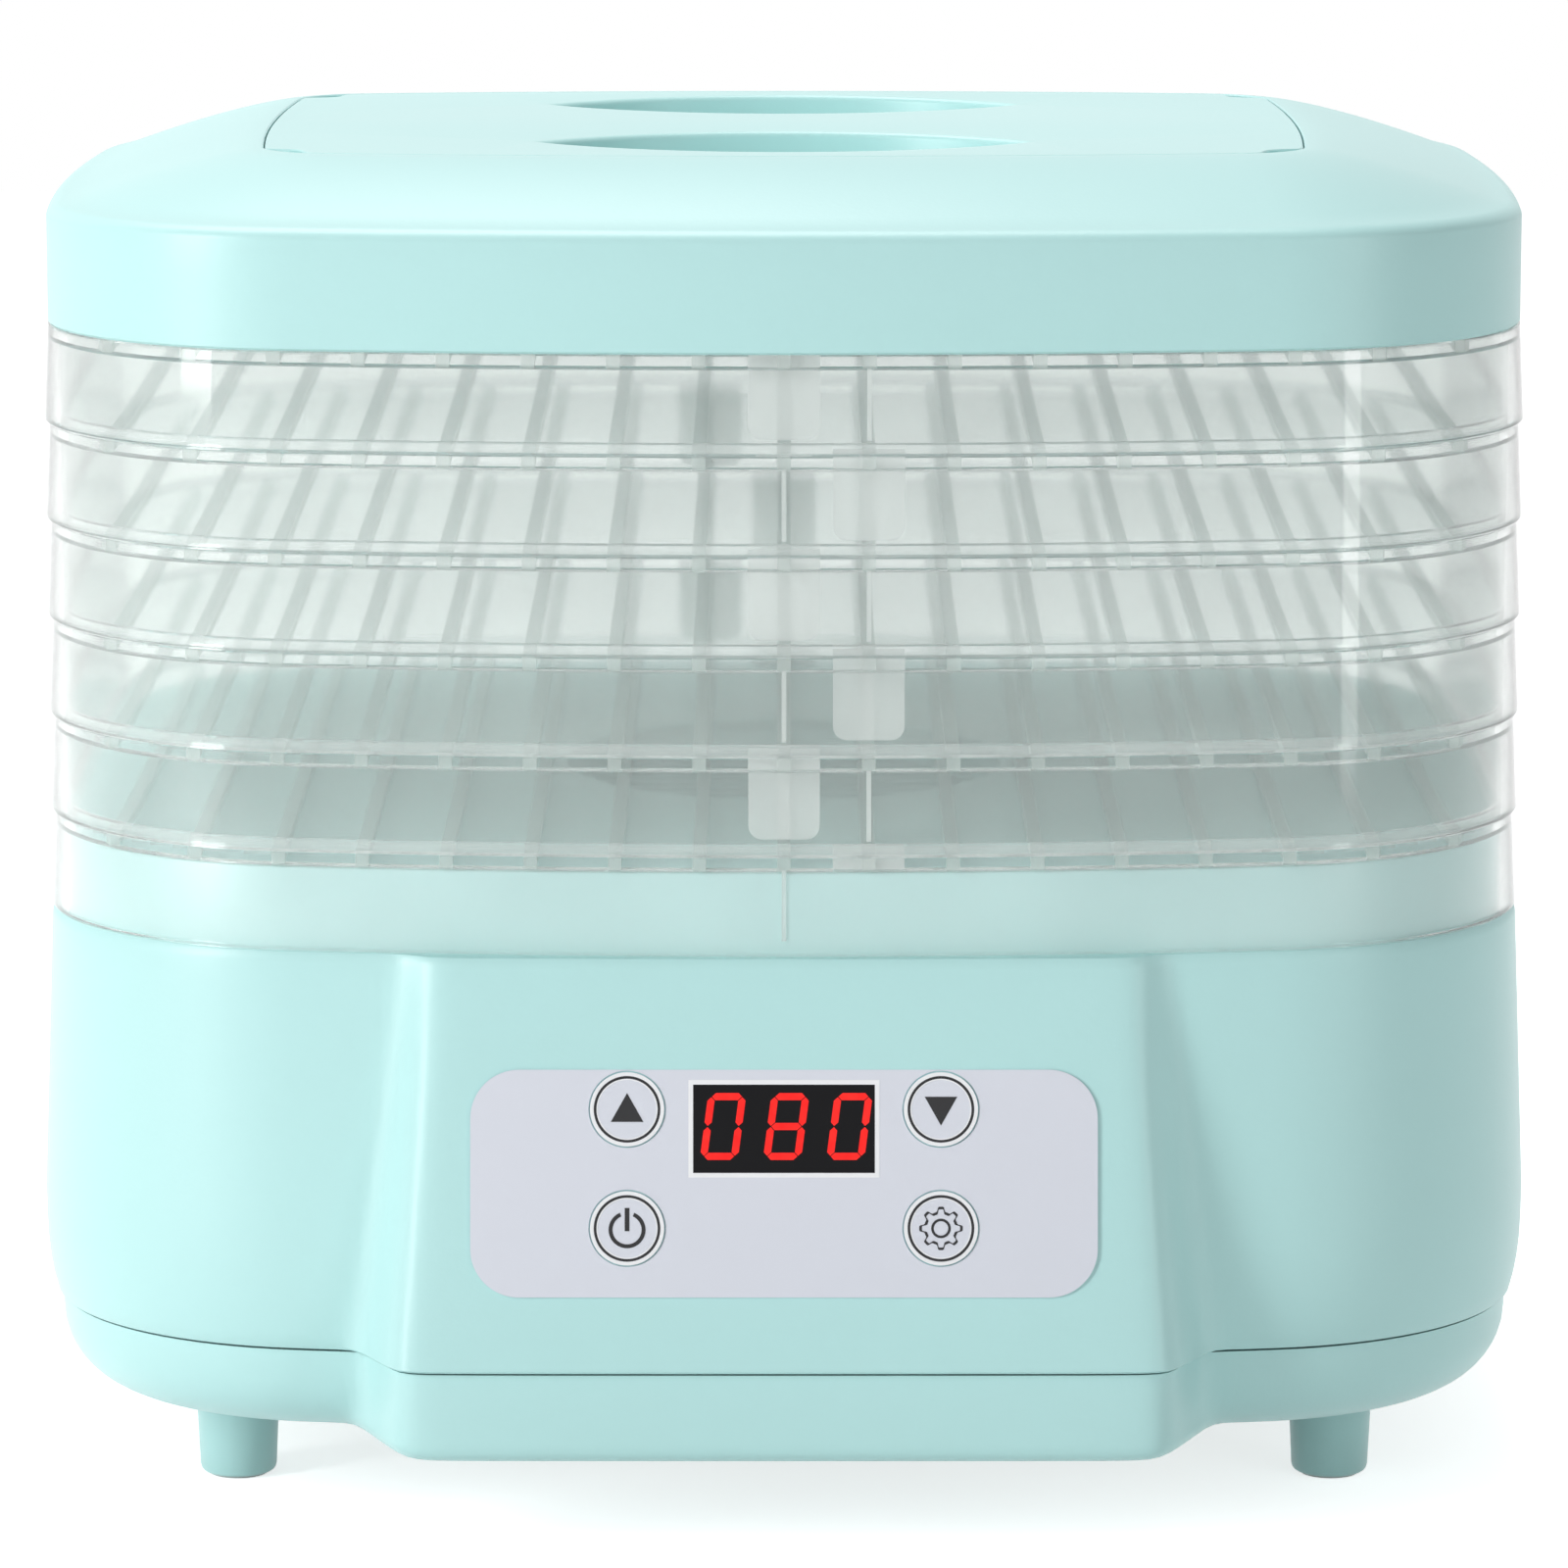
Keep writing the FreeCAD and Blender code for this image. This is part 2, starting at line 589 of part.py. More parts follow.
def lower_housing():
    """Tray-shaped bottom cover with the feet, screw posts, motor posts and air inlet."""
    outer = loft(lower_levels(0)).fuse(lower_bulge(0, FLOOR_Z, SEAM_Z))
    inner = loft(lower_levels(WALL)).fuse(lower_bulge(WALL, FLOOR_TOP_Z, SEAM_Z))
    shell = outer.cut(inner)
    pieces = []
    for x, y in corners(FOOT_X, FOOT_Y):
        foot = Part.makeCone(FOOT_TIP_R, FOOT_TOP_R, FLOOR_Z + WALL - PAD_PROUD, Vector(x, y, PAD_PROUD))
        tip = [e for e in foot.Edges if e.BoundBox.ZMax < 1]
        pieces.append(foot.makeFillet(FOOT_EDGE_R, tip))
        pieces.append(cylinder(POST_R, x, y, FLOOR_Z + 1, SEAM_Z))
    for x, y in corners(MOTOR_SCREW_AT, MOTOR_SCREW_AT):
        pieces.append(cylinder(MOTOR_SPACER_R, x, y, FLOOR_Z + 1, MOTOR_FOOT_Z))
    shell = joined(shell, pieces)
    holes = []
    for x, y in corners(FOOT_X, FOOT_Y):
        holes.append(cylinder(PAD_R + FIT, x, y, 0, PAD_HEIGHT))
        holes.append(cylinder(FOOT_BORE_R, x, y, 0, SCREW_SEAT_Z))
        holes.append(cylinder(SCREW_R + SCREW_FIT, x, y, 0, SEAM_Z + 1))
    for x, y in corners(MOTOR_SCREW_AT, MOTOR_SCREW_AT):
        holes.append(cylinder(MOTOR_SCREW_R + SCREW_FIT, x, y, FLOOR_TOP_Z, MOTOR_FOOT_Z + 1))
    for i in range(INLET_SLOTS):
        slot = box(INLET_FROM_R, INLET_TO_R, -INLET_SLOT / 2, INLET_SLOT / 2, FLOOR_Z - 1, FLOOR_TOP_Z + 1)
        slot.rotate(Vector(0, 0, 0), Vector(0, 0, 1), (i + 0.5) * 360 / INLET_SLOTS)
        holes.append(slot)
    return shell.cut(holes).removeSplitter()


def foot_pads():
    return [cylinder(PAD_R, x, y, 0, PAD_HEIGHT) for x, y in corners(FOOT_X, FOOT_Y)]


def housing_screws():
    return [screw(SCREW_R, SCREW_HEAD_R, SCREW_HEAD, x, y, SCREW_SEAT_Z, SEAM_Z + SCREW_GRIP)
            for x, y in corners(FOOT_X, FOOT_Y)]


# Air path

def duct_ear_places():
    reach = (DUCT_R + DUCT_WALL + DUCT_EAR_R + FIT) * math.sqrt(0.5)
    return corners(reach, reach)


def duct_ear(x, y, z0, z1):
    """Round ear at (x, y) with an arm back to the duct's wall."""
    arm = box(DUCT_R + DUCT_WALL / 2, math.hypot(x, y), -DUCT_EAR_R, DUCT_EAR_R, z0, z1)
    arm.rotate(Vector(0, 0, 0), Vector(0, 0, 1), math.degrees(math.atan2(y, x)))
    return arm.fuse(cylinder(DUCT_EAR_R, x, y, z0, z1))


def fan_duct():
    """Round duct from the fan up to the deck, hung on four ears."""
    outer = cylinder(DUCT_R + DUCT_WALL, 0, 0, DUCT_FOOT_Z, DECK_UNDER_Z)
    ear_z = DECK_UNDER_Z - DUCT_EAR_DROP
    ears = [duct_ear(x, y, ear_z - DUCT_WALL, ear_z) for x, y in duct_ear_places()]
    duct = joined(outer, ears).cut(cylinder(DUCT_R, 0, 0, DUCT_FOOT_Z - 1, DECK_Z))
    holes = [cylinder(SCREW_SMALL_R + SCREW_FIT, x, y, ear_z - DUCT_WALL - 1, ear_z + 1)
             for x, y in duct_ear_places()]
    return duct.cut(holes)


def duct_screws():
    seat = DECK_UNDER_Z - DUCT_EAR_DROP - DUCT_WALL
    return [screw(SCREW_SMALL_R, 2 * SCREW_SMALL_R, 1.6, x, y, seat, seat + DUCT_EAR_DROP)
            for x, y in duct_ear_places()]


def outlet_grille():
    """Slotted round plate, sunk below the deck on a short tube."""
    plate_z = DECK_Z - GRILLE_DROP - GRILLE_WALL
    rim = DUCT_R - FIT
    tube = cylinder(rim, 0, 0, plate_z, DECK_UNDER_Z)
    tube = tube.cut(cylinder(OUTLET_R, 0, 0, plate_z + GRILLE_WALL, DECK_Z))
    pitch = GRILLE_SLOT + GRILLE_BAR
    slots = []
    rows = int(OUTLET_R / pitch)
    for i in range(-rows, rows + 1):
        y = i * pitch
        reach = OUTLET_R - GRILLE_BAR
        if abs(y) + GRILLE_SLOT / 2 < reach:
            half = math.sqrt(reach ** 2 - (abs(y) + GRILLE_SLOT / 2) ** 2)
            slots.append(box(-half, half, y - GRILLE_SLOT / 2, y + GRILLE_SLOT / 2, plate_z - 1, plate_z + 5))
    return tube.cut(slots)


def heater_frame():
    """Two crossed mica boards that carry the heating rings."""
    half = DUCT_R - FIT
    z0 = HEATER_Z - HEATER_HEIGHT / 2
    z1 = HEATER_Z + HEATER_HEIGHT / 2
    across = box(-half, half, -HEATER_BOARD / 2, HEATER_BOARD / 2, z0, z1)
    along = box(-HEATER_BOARD / 2, HEATER_BOARD / 2, -half, half, z0, z1)
    rings = [Part.makeTorus(r, HEATER_WIRE_R + FIT, Vector(0, 0, HEATER_Z)) for r in HEATER_RINGS]
    return across.fuse(along).removeSplitter().cut(rings)


def heater_rings():
    return [Part.makeTorus(r, HEATER_WIRE_R, Vector(0, 0, HEATER_Z)) for r in HEATER_RINGS]


def thermal_cutout():
    """Overheat switch clipped to the outside of the duct."""
    x0 = DUCT_R + DUCT_WALL + FIT
    half = CUTOUT_WIDTH / 2
    z0 = HEATER_Z - CUTOUT_HEIGHT / 2
    body = box(x0, x0 + CUTOUT_DEPTH, -half, half, z0, z0 + CUTOUT_HEIGHT)
    blade = CUTOUT_DEPTH / 2
    tags = [box(x0 + blade - 0.4, x0 + blade + 0.4, s * half / 2 - 1.5, s * half / 2 + 1.5, z0 - 7, z0)
            for s in (-1, 1)]
    return body.multiFuse(tags)


# Fan and motor

def fan_impeller():
    hub = cylinder(HUB_R, 0, 0, HUB_Z, HUB_Z + HUB_HEIGHT)
    blades = []
    for i in range(BLADE_COUNT):
        blade = box(HUB_R * 0.6, BLADE_R, -BLADE_CHORD / 2, BLADE_CHORD / 2, -BLADE_WALL / 2, BLADE_WALL / 2)
        blade.rotate(Vector(0, 0, 0), Vector(1, 0, 0), BLADE_PITCH)
        blade.rotate(Vector(0, 0, 0), Vector(0, 0, 1), i * 360 / BLADE_COUNT)
        blade.translate(Vector(0, 0, HUB_Z + HUB_HEIGHT / 2))
        blades.append(blade)
    swept = cylinder(BLADE_R, 0, 0, HUB_Z, HUB_Z + HUB_HEIGHT)
    fan = joined(hub, blades).common(swept)
    return fan.cut(cylinder(SHAFT_R + SCREW_FIT, 0, 0, HUB_Z - 1, HUB_Z + HUB_HEIGHT + 1))


def motor_shaft():
    return cylinder(SHAFT_R, 0, 0, SHAFT_FOOT_Z, SHAFT_TOP_Z)


def motor_rotor():
    core = cylinder(ROTOR_R, 0, 0, STATOR_Z, STATOR_Z + STATOR_HEIGHT)
    return core.cut(cylinder(SHAFT_R + SCREW_FIT, 0, 0, STATOR_Z - 1, STATOR_Z + STATOR_HEIGHT + 1))


def motor_stator():
    """Laminated iron frame; its left limb is narrow and carries the winding."""
    half = MOTOR_SIZE / 2
    z1 = STATOR_Z + STATOR_HEIGHT
    frame = box(-half - 2 * COIL_WALL, half, -half, half, STATOR_Z, z1)
    inner = half - COIL_WALL
    window = box(-half - COIL_WALL, -half + COIL_WALL / 2, -inner, inner, STATOR_Z - 1, z1 + 1)
    bore = cylinder(ROTOR_R + ROTOR_AIR_GAP, 0, 0, STATOR_Z - 1, z1 + 1)
    holes = [cylinder(MOTOR_SCREW_R + SCREW_FIT, x, y, STATOR_Z - 1, z1 + 1)
             for x, y in corners(MOTOR_SCREW_AT, MOTOR_SCREW_AT)]
    return frame.cut([window, bore] + holes)


def motor_coil():
    """Winding around the stator's left limb."""
    half = MOTOR_SIZE / 2
    limb_x = -half - 1.5 * COIL_WALL
    reach = COIL_WALL / 2 + COIL_WALL - FIT
    z_mid = STATOR_Z + STATOR_HEIGHT / 2
    long_half = half - COIL_WALL - FIT
    tall = STATOR_HEIGHT / 2 + COIL_WALL
    coil = box(limb_x - reach, limb_x + reach, -long_half, long_half, z_mid - tall, z_mid + tall)
    gap = COIL_WALL / 2 + FIT
    tunnel = box(limb_x - gap, limb_x + gap, -half, half,
                 z_mid - STATOR_HEIGHT / 2 - FIT, z_mid + STATOR_HEIGHT / 2 + FIT)
    return coil.cut(tunnel)


def motor_plate(z0, spacer_z0, spacer_z1):
    """End plate with a bush seat and four spacers towards the stator."""
    half = MOTOR_SIZE / 2
    plate = box(-half, half, -half, half, z0, z0 + MOTOR_PLATE)
    spacers = [cylinder(MOTOR_SPACER_R, x, y, spacer_z0, spacer_z1)
               for x, y in corners(MOTOR_SCREW_AT, MOTOR_SCREW_AT)]
    reach = MOTOR_SPACER + MOTOR_PLATE + 1
    holes = [cylinder(MOTOR_SCREW_R + SCREW_FIT, x, y, z0 - reach, z0 + reach)
             for x, y in corners(MOTOR_SCREW_AT, MOTOR_SCREW_AT)]
    seat = cylinder(BUSH_R + SCREW_FIT, 0, 0, z0 - 1, z0 + MOTOR_PLATE + 1)
    return joined(plate, spacers).cut([seat] + holes)


def motor_lower_plate():
    return motor_plate(MOTOR_FOOT_Z, MOTOR_FOOT_Z + MOTOR_PLATE, STATOR_Z)


def motor_upper_plate():
    return motor_plate(UPPER_PLATE_Z, STATOR_Z + STATOR_HEIGHT, UPPER_PLATE_Z)


def motor_bushes():
    bushes = []
    for plate_z in (MOTOR_FOOT_Z, UPPER_PLATE_Z):
        z0 = plate_z + (MOTOR_PLATE - BUSH_HEIGHT) / 2
        bush = cylinder(BUSH_R, 0, 0, z0, z0 + BUSH_HEIGHT)
        bushes.append(bush.cut(cylinder(SHAFT_R + BEARING_GAP, 0, 0, z0 - 1, z0 + BUSH_HEIGHT + 1)))
    return bushes


def motor_screws():
    seat = UPPER_PLATE_Z + MOTOR_PLATE
    return [screw(MOTOR_SCREW_R, 2 * MOTOR_SCREW_R, 2, x, y, seat, FLOOR_TOP_Z + 1)
            for x, y in corners(MOTOR_SCREW_AT, MOTOR_SCREW_AT)]


# Controls

def on_panel(shape):
    """Places a shape drawn in the panel's plane on the sloping control face."""
    shape = shape.copy()
    tilt = Rotation(Vector(1, 0, 0), 90 - BULGE_SLOPE)
    shape.Placement = Placement(Vector(0, face_y(PANEL_Z), PANEL_Z), tilt)
    return shape


def rounded_sheet(width, height, radius, w0, w1):
    sheet = box(-width / 2, width / 2, -height / 2, height / 2, w0, w1)
    return sheet.makeFillet(radius, [e for e in sheet.Edges if abs(e.BoundBox.ZLength - (w1 - w0)) < 1e-6
                                     and e.BoundBox.XLength < 1e-3 and e.BoundBox.YLength < 1e-3])


def key_places():
    return {
        "key_up": (-KEY_ACROSS, KEY_UP),
        "key_down": (KEY_ACROSS, KEY_UP),
        "key_power": (-KEY_ACROSS, KEY_DOWN),
        "key_set": (KEY_ACROSS, KEY_DOWN),
    }


def display_box(grow, w0, w1):
    half_x = DISPLAY_WIDTH / 2 + grow
    half_y = DISPLAY_HEIGHT / 2 + grow
    return box(-half_x, half_x, DISPLAY_UP - half_y, DISPLAY_UP + half_y, w0, w1)


def panel_holes():
    """Openings of the face for the keys and the display."""
    holes = [cylinder(KEY_R + FIT, x, y, -2 * WALL, 1) for x, y in key_places().values()]
    return holes + [display_box(FIT, -2 * WALL, 1)]


def board_bosses():
    return [cylinder(BOARD_BOSS_R, x, y, -BOARD_DROP, -WALL / 2)
            .cut(cylinder(SCREW_SMALL_R + SCREW_FIT, x, y, -BOARD_DROP - 1, -WALL))
            for x, y in corners(BOARD_SCREW_X, BOARD_SCREW_Y)]


def control_overlay():
    sheet = rounded_sheet(OVERLAY_WIDTH, OVERLAY_HEIGHT, OVERLAY_CORNER_R, 0, OVERLAY_WALL)
    return on_panel(sheet.cut(panel_holes()))


def display_lens():
    return on_panel(display_box(0, -WALL, OVERLAY_WALL))


def display_module():
    return on_panel(display_box(0, -BOARD_DROP, -WALL))


def control_board():
    half_x = BOARD_WIDTH / 2
    half_y = BOARD_HEIGHT / 2
    board = box(-half_x, half_x, -half_y, half_y, -BOARD_DROP - BOARD_WALL, -BOARD_DROP)
    holes = [cylinder(SCREW_SMALL_R + SCREW_FIT, x, y, -2 * BOARD_DROP, 0)
             for x, y in corners(BOARD_SCREW_X, BOARD_SCREW_Y)]
    return on_panel(board.cut(holes))


def board_screws():
    seat = -BOARD_DROP - BOARD_WALL
    return [on_panel(screw(SCREW_SMALL_R, 2 * SCREW_SMALL_R, 1.6, x, y, seat, -WALL - 1))
            for x, y in corners(BOARD_SCREW_X, BOARD_SCREW_Y)]


def tact_switches():
    switches = []
    half = SWITCH_SIZE / 2
    for x, y in key_places().values():
        body = box(x - half, x + half, y - half, y + half, -BOARD_DROP, -BOARD_DROP + SWITCH_HEIGHT - 1)
        button = cylinder(SWITCH_SIZE / 4, x, y, -BOARD_DROP, -BOARD_DROP + SWITCH_HEIGHT)
        switches.append(on_panel(body.fuse(button).removeSplitter()))
    return switches


def key(x, y):
    """Round key cap with a retaining flange behind the wall and a stem over its switch."""
    cap = cylinder(KEY_R, x, y, -WALL - FIT - KEY_FLANGE, OVERLAY_WALL + KEY_PROUD)
    flange = cylinder(KEY_FLANGE_R, x, y, -WALL - FIT - KEY_FLANGE, -WALL - FIT)
    stem_end = -BOARD_DROP + SWITCH_HEIGHT + KEY_TRAVEL + FIT / 2
    stem = cylinder(KEY_STEM_R, x, y, stem_end, -WALL)
    return on_panel(cap.multiFuse([flange, stem]).removeSplitter())


# Cord bushing

def gland_y():
    """Y of the rear wall's outer face beside the bushing."""
    return HALF_DEPTH + FLARE - GLAND_X ** 2 / (2 * FRONT_BOW)


def gland_solid(radius, length):
    start = Vector(GLAND_X, gland_y() + GLAND_PROUD - length, GLAND_Z)
    return Part.makeCylinder(radius, length, start, Vector(0, 1, 0))


def cord_gland():
    body = gland_solid(GLAND_R - SCREW_FIT, GLAND_LENGTH)
    start = Vector(GLAND_X, gland_y() - WALL - GLAND_SEAT - GLAND_FLANGE, GLAND_Z)
    flange = Part.makeCylinder(GLAND_FLANGE_R, GLAND_FLANGE, start, Vector(0, 1, 0))
    bore = gland_solid(GLAND_BORE_R, GLAND_LENGTH)
    return body.fuse(flange).cut(bore).removeSplitter()


def export(name, shape):
    if isinstance(shape, list):
        shape = Part.makeCompound(shape)
    shape = shape.copy()
    shape.translate(Vector(0, ORIGIN_SHIFT, 0))
    if not shape.isValid():
        print("not valid:", name)
    shape.exportStep("parts/%s.step" % name)
    print("%-20s solids %d volume %.0f" % (name, len(shape.Solids), shape.Volume))


os.makedirs("parts", exist_ok=True)
for name, shape in trays().items():
    export(name, shape)
for name, (x, y) in key_places().items():
    export(name, key(x, y))
for make in (
    lid_shell, lid_handle_panel, lid_screws,
    upper_housing, lower_housing, foot_pads, housing_screws,
    outlet_grille, fan_duct, duct_screws, heater_frame, heater_rings, thermal_cutout,
    fan_impeller, motor_shaft, motor_rotor, motor_stator, motor_coil,
    motor_lower_plate, motor_upper_plate, motor_bushes, motor_screws,
    control_overlay, display_lens, display_module, control_board, board_screws, tact_switches,
    cord_gland,
):
    export(make.__name__, make())
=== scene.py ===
"""Looks of the stacking food dehydrator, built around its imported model. Metres, +Z up, front towards -Y."""
import math

import bmesh
import bpy
from mathutils import Matrix, Vector


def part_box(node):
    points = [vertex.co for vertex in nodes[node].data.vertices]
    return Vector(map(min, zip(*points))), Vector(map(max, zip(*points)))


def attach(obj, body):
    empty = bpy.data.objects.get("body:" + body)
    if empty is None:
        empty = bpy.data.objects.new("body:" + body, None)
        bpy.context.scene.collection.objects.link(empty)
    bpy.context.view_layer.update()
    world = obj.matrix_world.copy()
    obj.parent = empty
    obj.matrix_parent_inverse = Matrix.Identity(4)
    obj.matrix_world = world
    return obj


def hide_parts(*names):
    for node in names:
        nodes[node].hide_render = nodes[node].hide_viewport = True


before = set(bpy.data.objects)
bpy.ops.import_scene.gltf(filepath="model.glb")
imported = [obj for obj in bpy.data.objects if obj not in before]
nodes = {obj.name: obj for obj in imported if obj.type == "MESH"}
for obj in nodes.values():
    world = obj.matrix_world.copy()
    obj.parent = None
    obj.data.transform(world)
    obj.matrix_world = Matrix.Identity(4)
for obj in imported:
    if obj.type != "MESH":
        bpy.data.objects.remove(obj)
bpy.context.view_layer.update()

# The camera and its plain studio: it looks slightly down at the front from about 1.8 m,
# through a long lens, so that the sides hardly close up.
MM = 0.001
tray_low, tray_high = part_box("tray_1")
STACK_Y = (tray_low.y + tray_high.y) / 2
CAMERA_BACK = 1.7764
CAMERA_HEIGHT = 0.44935
CAMERA_TILT = 80.26
CAMERA_LENS = 178.3

camera_data = bpy.data.cameras.new("camera")
camera_data.lens = CAMERA_LENS
camera_data.sensor_width = 36
camera = bpy.data.objects.new("camera", camera_data)
camera.location = (0, STACK_Y - CAMERA_BACK, CAMERA_HEIGHT)
camera.rotation_euler = (math.radians(CAMERA_TILT), 0, 0)
bpy.context.scene.collection.objects.link(camera)
bpy.context.scene.camera = camera
bpy.context.scene.view_settings.view_transform = "Standard"
CLEAR_LAYERS = 14          # surfaces of clear plastic that a ray may pass
MILKY_LAYERS = 28
DIFFUSE_BOUNCES = 3
bpy.context.scene.cycles.max_bounces = CLEAR_LAYERS
bpy.context.scene.cycles.transmission_bounces = CLEAR_LAYERS
bpy.context.scene.cycles.diffuse_bounces = DIFFUSE_BOUNCES
bpy.context.scene.cycles.transparent_max_bounces = MILKY_LAYERS


def lamp(name, place, target, size, power):
    """Square soft box at place that faces target."""
    data = bpy.data.lights.new(name, "AREA")
    data.shape = "RECTANGLE"
    data.size, data.size_y = size
    data.energy = power
    light = bpy.data.objects.new(name, data)
    light.location = place
    light.rotation_euler = (Vector(target) - Vector(place)).to_track_quat("-Z", "Y").to_euler()
    bpy.context.scene.collection.objects.link(light)


AIM = (0, STACK_Y, 0.15)
lamp("key_left", (-1.7, -1.2, 0.8), AIM, (0.5, 1.3), 27)
lamp("fill_right", (1.6, -1.5, 0.5), AIM, (0.25, 1.2), 4.5)
lamp("top_soft", (-0.3, 0.6, 1.9), AIM, (1.2, 1.2), 19)


def shader(name):
    """New node material with a Principled shader; returns the material, its tree and the shader."""
    material = bpy.data.materials.new(name)
    material.use_nodes = True
    tree = material.node_tree
    return material, tree, tree.nodes["Principled BSDF"]


def seen_mask(tree):
    """1 for rays that look straight, by reflection or through clear plastic at the background."""
    rays = tree.nodes.new("ShaderNodeLightPath")
    first = tree.nodes.new("ShaderNodeMath")
    first.operation = "MAXIMUM"
    tree.links.new(rays.outputs["Is Camera Ray"], first.inputs[0])
    tree.links.new(rays.outputs["Is Glossy Ray"], first.inputs[1])
    second = tree.nodes.new("ShaderNodeMath")
    second.operation = "MAXIMUM"
    tree.links.new(first.outputs[0], second.inputs[0])
    tree.links.new(rays.outputs["Is Transmission Ray"], second.inputs[1])
    return second.outputs[0]


world = bpy.data.worlds.new("studio")
bpy.context.scene.world = world
world.use_nodes = True
sky = world.node_tree.nodes["Background"]
AMBIENT = 0.36
sky_level = world.node_tree.nodes.new("ShaderNodeMapRange")
sky_level.inputs["To Min"].default_value = AMBIENT
sky_level.inputs["To Max"].default_value = 1.0
world.node_tree.links.new(seen_mask(world.node_tree), sky_level.inputs["Value"])
world.node_tree.links.new(sky_level.outputs["Result"], sky.inputs["Strength"])
sky.inputs["Color"].default_value = (1, 1, 1, 1)

# White paper sweep under and behind the object.
FLOOR_SIZE = 3.0
FLOOR_LIFT = 0.7
bm = bmesh.new()
bmesh.ops.create_grid(bm, x_segments=1, y_segments=1, size=FLOOR_SIZE)
floor_mesh = bpy.data.meshes.new("paper_sweep")
bm.to_mesh(floor_mesh)
bm.free()
paper_sweep = bpy.data.objects.new("paper_sweep", floor_mesh)
bpy.context.scene.collection.objects.link(paper_sweep)
paper, tree, paper_shader = shader("white_paper")
paper_shader.inputs["Base Color"].default_value = (0.9, 0.9, 0.9, 1)
paper_shader.inputs["Roughness"].default_value = 0.9
paper_shader.inputs["Specular IOR Level"].default_value = 0.1
paper_shader.inputs["Emission Color"].default_value = (1, 1, 1, 1)
paper_lift = tree.nodes.new("ShaderNodeMath")
paper_lift.operation = "MULTIPLY"
paper_lift.inputs[1].default_value = FLOOR_LIFT
tree.links.new(seen_mask(tree), paper_lift.inputs[0])
tree.links.new(paper_lift.outputs[0], paper_shader.inputs["Emission Strength"])
floor_mesh.materials.append(paper)


# Lid shell: one moulding of satin mint plastic, an upright skirt that rolls over into a
# gently crowned slope, with a seat in the middle for the handle panel.
HALF_WIDTH = 165 * MM
HALF_DEPTH = 135 * MM
FRONT_BOW = 736 * MM
SIDE_BOW = 1000 * MM
CORNER_R = 65 * MM
FRONT_STEPS = 96
SIDE_STEPS = 30
CORNER_STEPS = 20
SKIRT_WALL = 2.0 * MM
PLATEAU_INSET = 46.5 * MM
PANEL_WALL = 2.0 * MM
PANEL_LEDGE = 7.0 * MM
SEAM_GAP = 0.35 * MM
SMOOTH_ANGLE = math.radians(38)


def corner_centre():
    """Centre of the corner arcs, which the front bow and the side bow both touch."""
    x = HALF_WIDTH - CORNER_R
    for _ in range(40):
        y = HALF_DEPTH - FRONT_BOW + math.sqrt((FRONT_BOW - CORNER_R) ** 2 - x ** 2)
        x = HALF_WIDTH - SIDE_BOW + math.sqrt((SIDE_BOW - CORNER_R) ** 2 - y ** 2)
    return x, y


CORNER_X, CORNER_Y = corner_centre()
FRONT_TURN = math.atan2(CORNER_X, CORNER_Y - HALF_DEPTH + FRONT_BOW)
SIDE_TURN = math.atan2(CORNER_Y, CORNER_X - HALF_WIDTH + SIDE_BOW)


def plan(inset):
    """Points of the bowed, round-cornered plan shape drawn in by inset, once round from -X -Y."""
    points = []
    front_r = FRONT_BOW - inset
    side_r = SIDE_BOW - inset
    corner_r = CORNER_R - inset

    def arc(centre_x, centre_y, radius, start, end, steps):
        for i in range(steps):
            angle = start + (end - start) * i / steps
            points.append((centre_x + radius * math.sin(angle), centre_y + radius * math.cos(angle)))

    front_cy = HALF_DEPTH - FRONT_BOW
    side_cx = HALF_WIDTH - SIDE_BOW
    right = math.pi / 2
    arc(0, -front_cy, front_r, math.pi + FRONT_TURN, math.pi - FRONT_TURN, FRONT_STEPS)
    arc(CORNER_X, -CORNER_Y, corner_r, math.pi - FRONT_TURN, right + SIDE_TURN, CORNER_STEPS)
    arc(side_cx, 0, side_r, right + SIDE_TURN, right - SIDE_TURN, SIDE_STEPS)
    arc(CORNER_X, CORNER_Y, corner_r, right - SIDE_TURN, FRONT_TURN, CORNER_STEPS)
    arc(0, front_cy, front_r, FRONT_TURN, -FRONT_TURN, FRONT_STEPS)
    arc(-CORNER_X, CORNER_Y, corner_r, -FRONT_TURN, SIDE_TURN - right, CORNER_STEPS)
    arc(-side_cx, 0, side_r, SIDE_TURN - right, -SIDE_TURN - right, SIDE_STEPS)
    arc(-CORNER_X, -CORNER_Y, corner_r, -SIDE_TURN - right, FRONT_TURN - math.pi, CORNER_STEPS)
    return points


def level(inset, z):
    return [(x, y, z) for x, y in plan(inset)]


def ring_edges(bm, verts):
    return [bm.edges.get((verts[i - 1], verts[i])) or bm.edges.new((verts[i - 1], verts[i]))
            for i in range(len(verts))]


def skin(bm, rows, closed=False):
    """Draws a loop of edges through rows of points about the stack's axis; returns both end loops."""
    start = [bm.verts.new((x, y + STACK_Y, z)) for x, y, z in rows[0]]
    verts = start
    edges = first = ring_edges(bm, verts)
    for points in rows[1:] + (rows[:1] if closed else []):
        grown = bmesh.ops.extrude_edge_only(bm, edges=edges)["geom"]
        fresh = {part for part in grown if isinstance(part, bmesh.types.BMVert)}
        verts = [next(e.other_vert(v) for e in v.link_edges if e.other_vert(v) in fresh) for v in verts]
        for vert, (x, y, z) in zip(verts, points):
            vert.co = (x, y + STACK_Y, z)
        edges = ring_edges(bm, verts)
    if closed:
        bmesh.ops.remove_doubles(bm, verts=start + verts, dist=0.001 * MM)
    return first, edges


def cap(bm, edges):
    bmesh.ops.edgeloop_fill(bm, edges=edges)


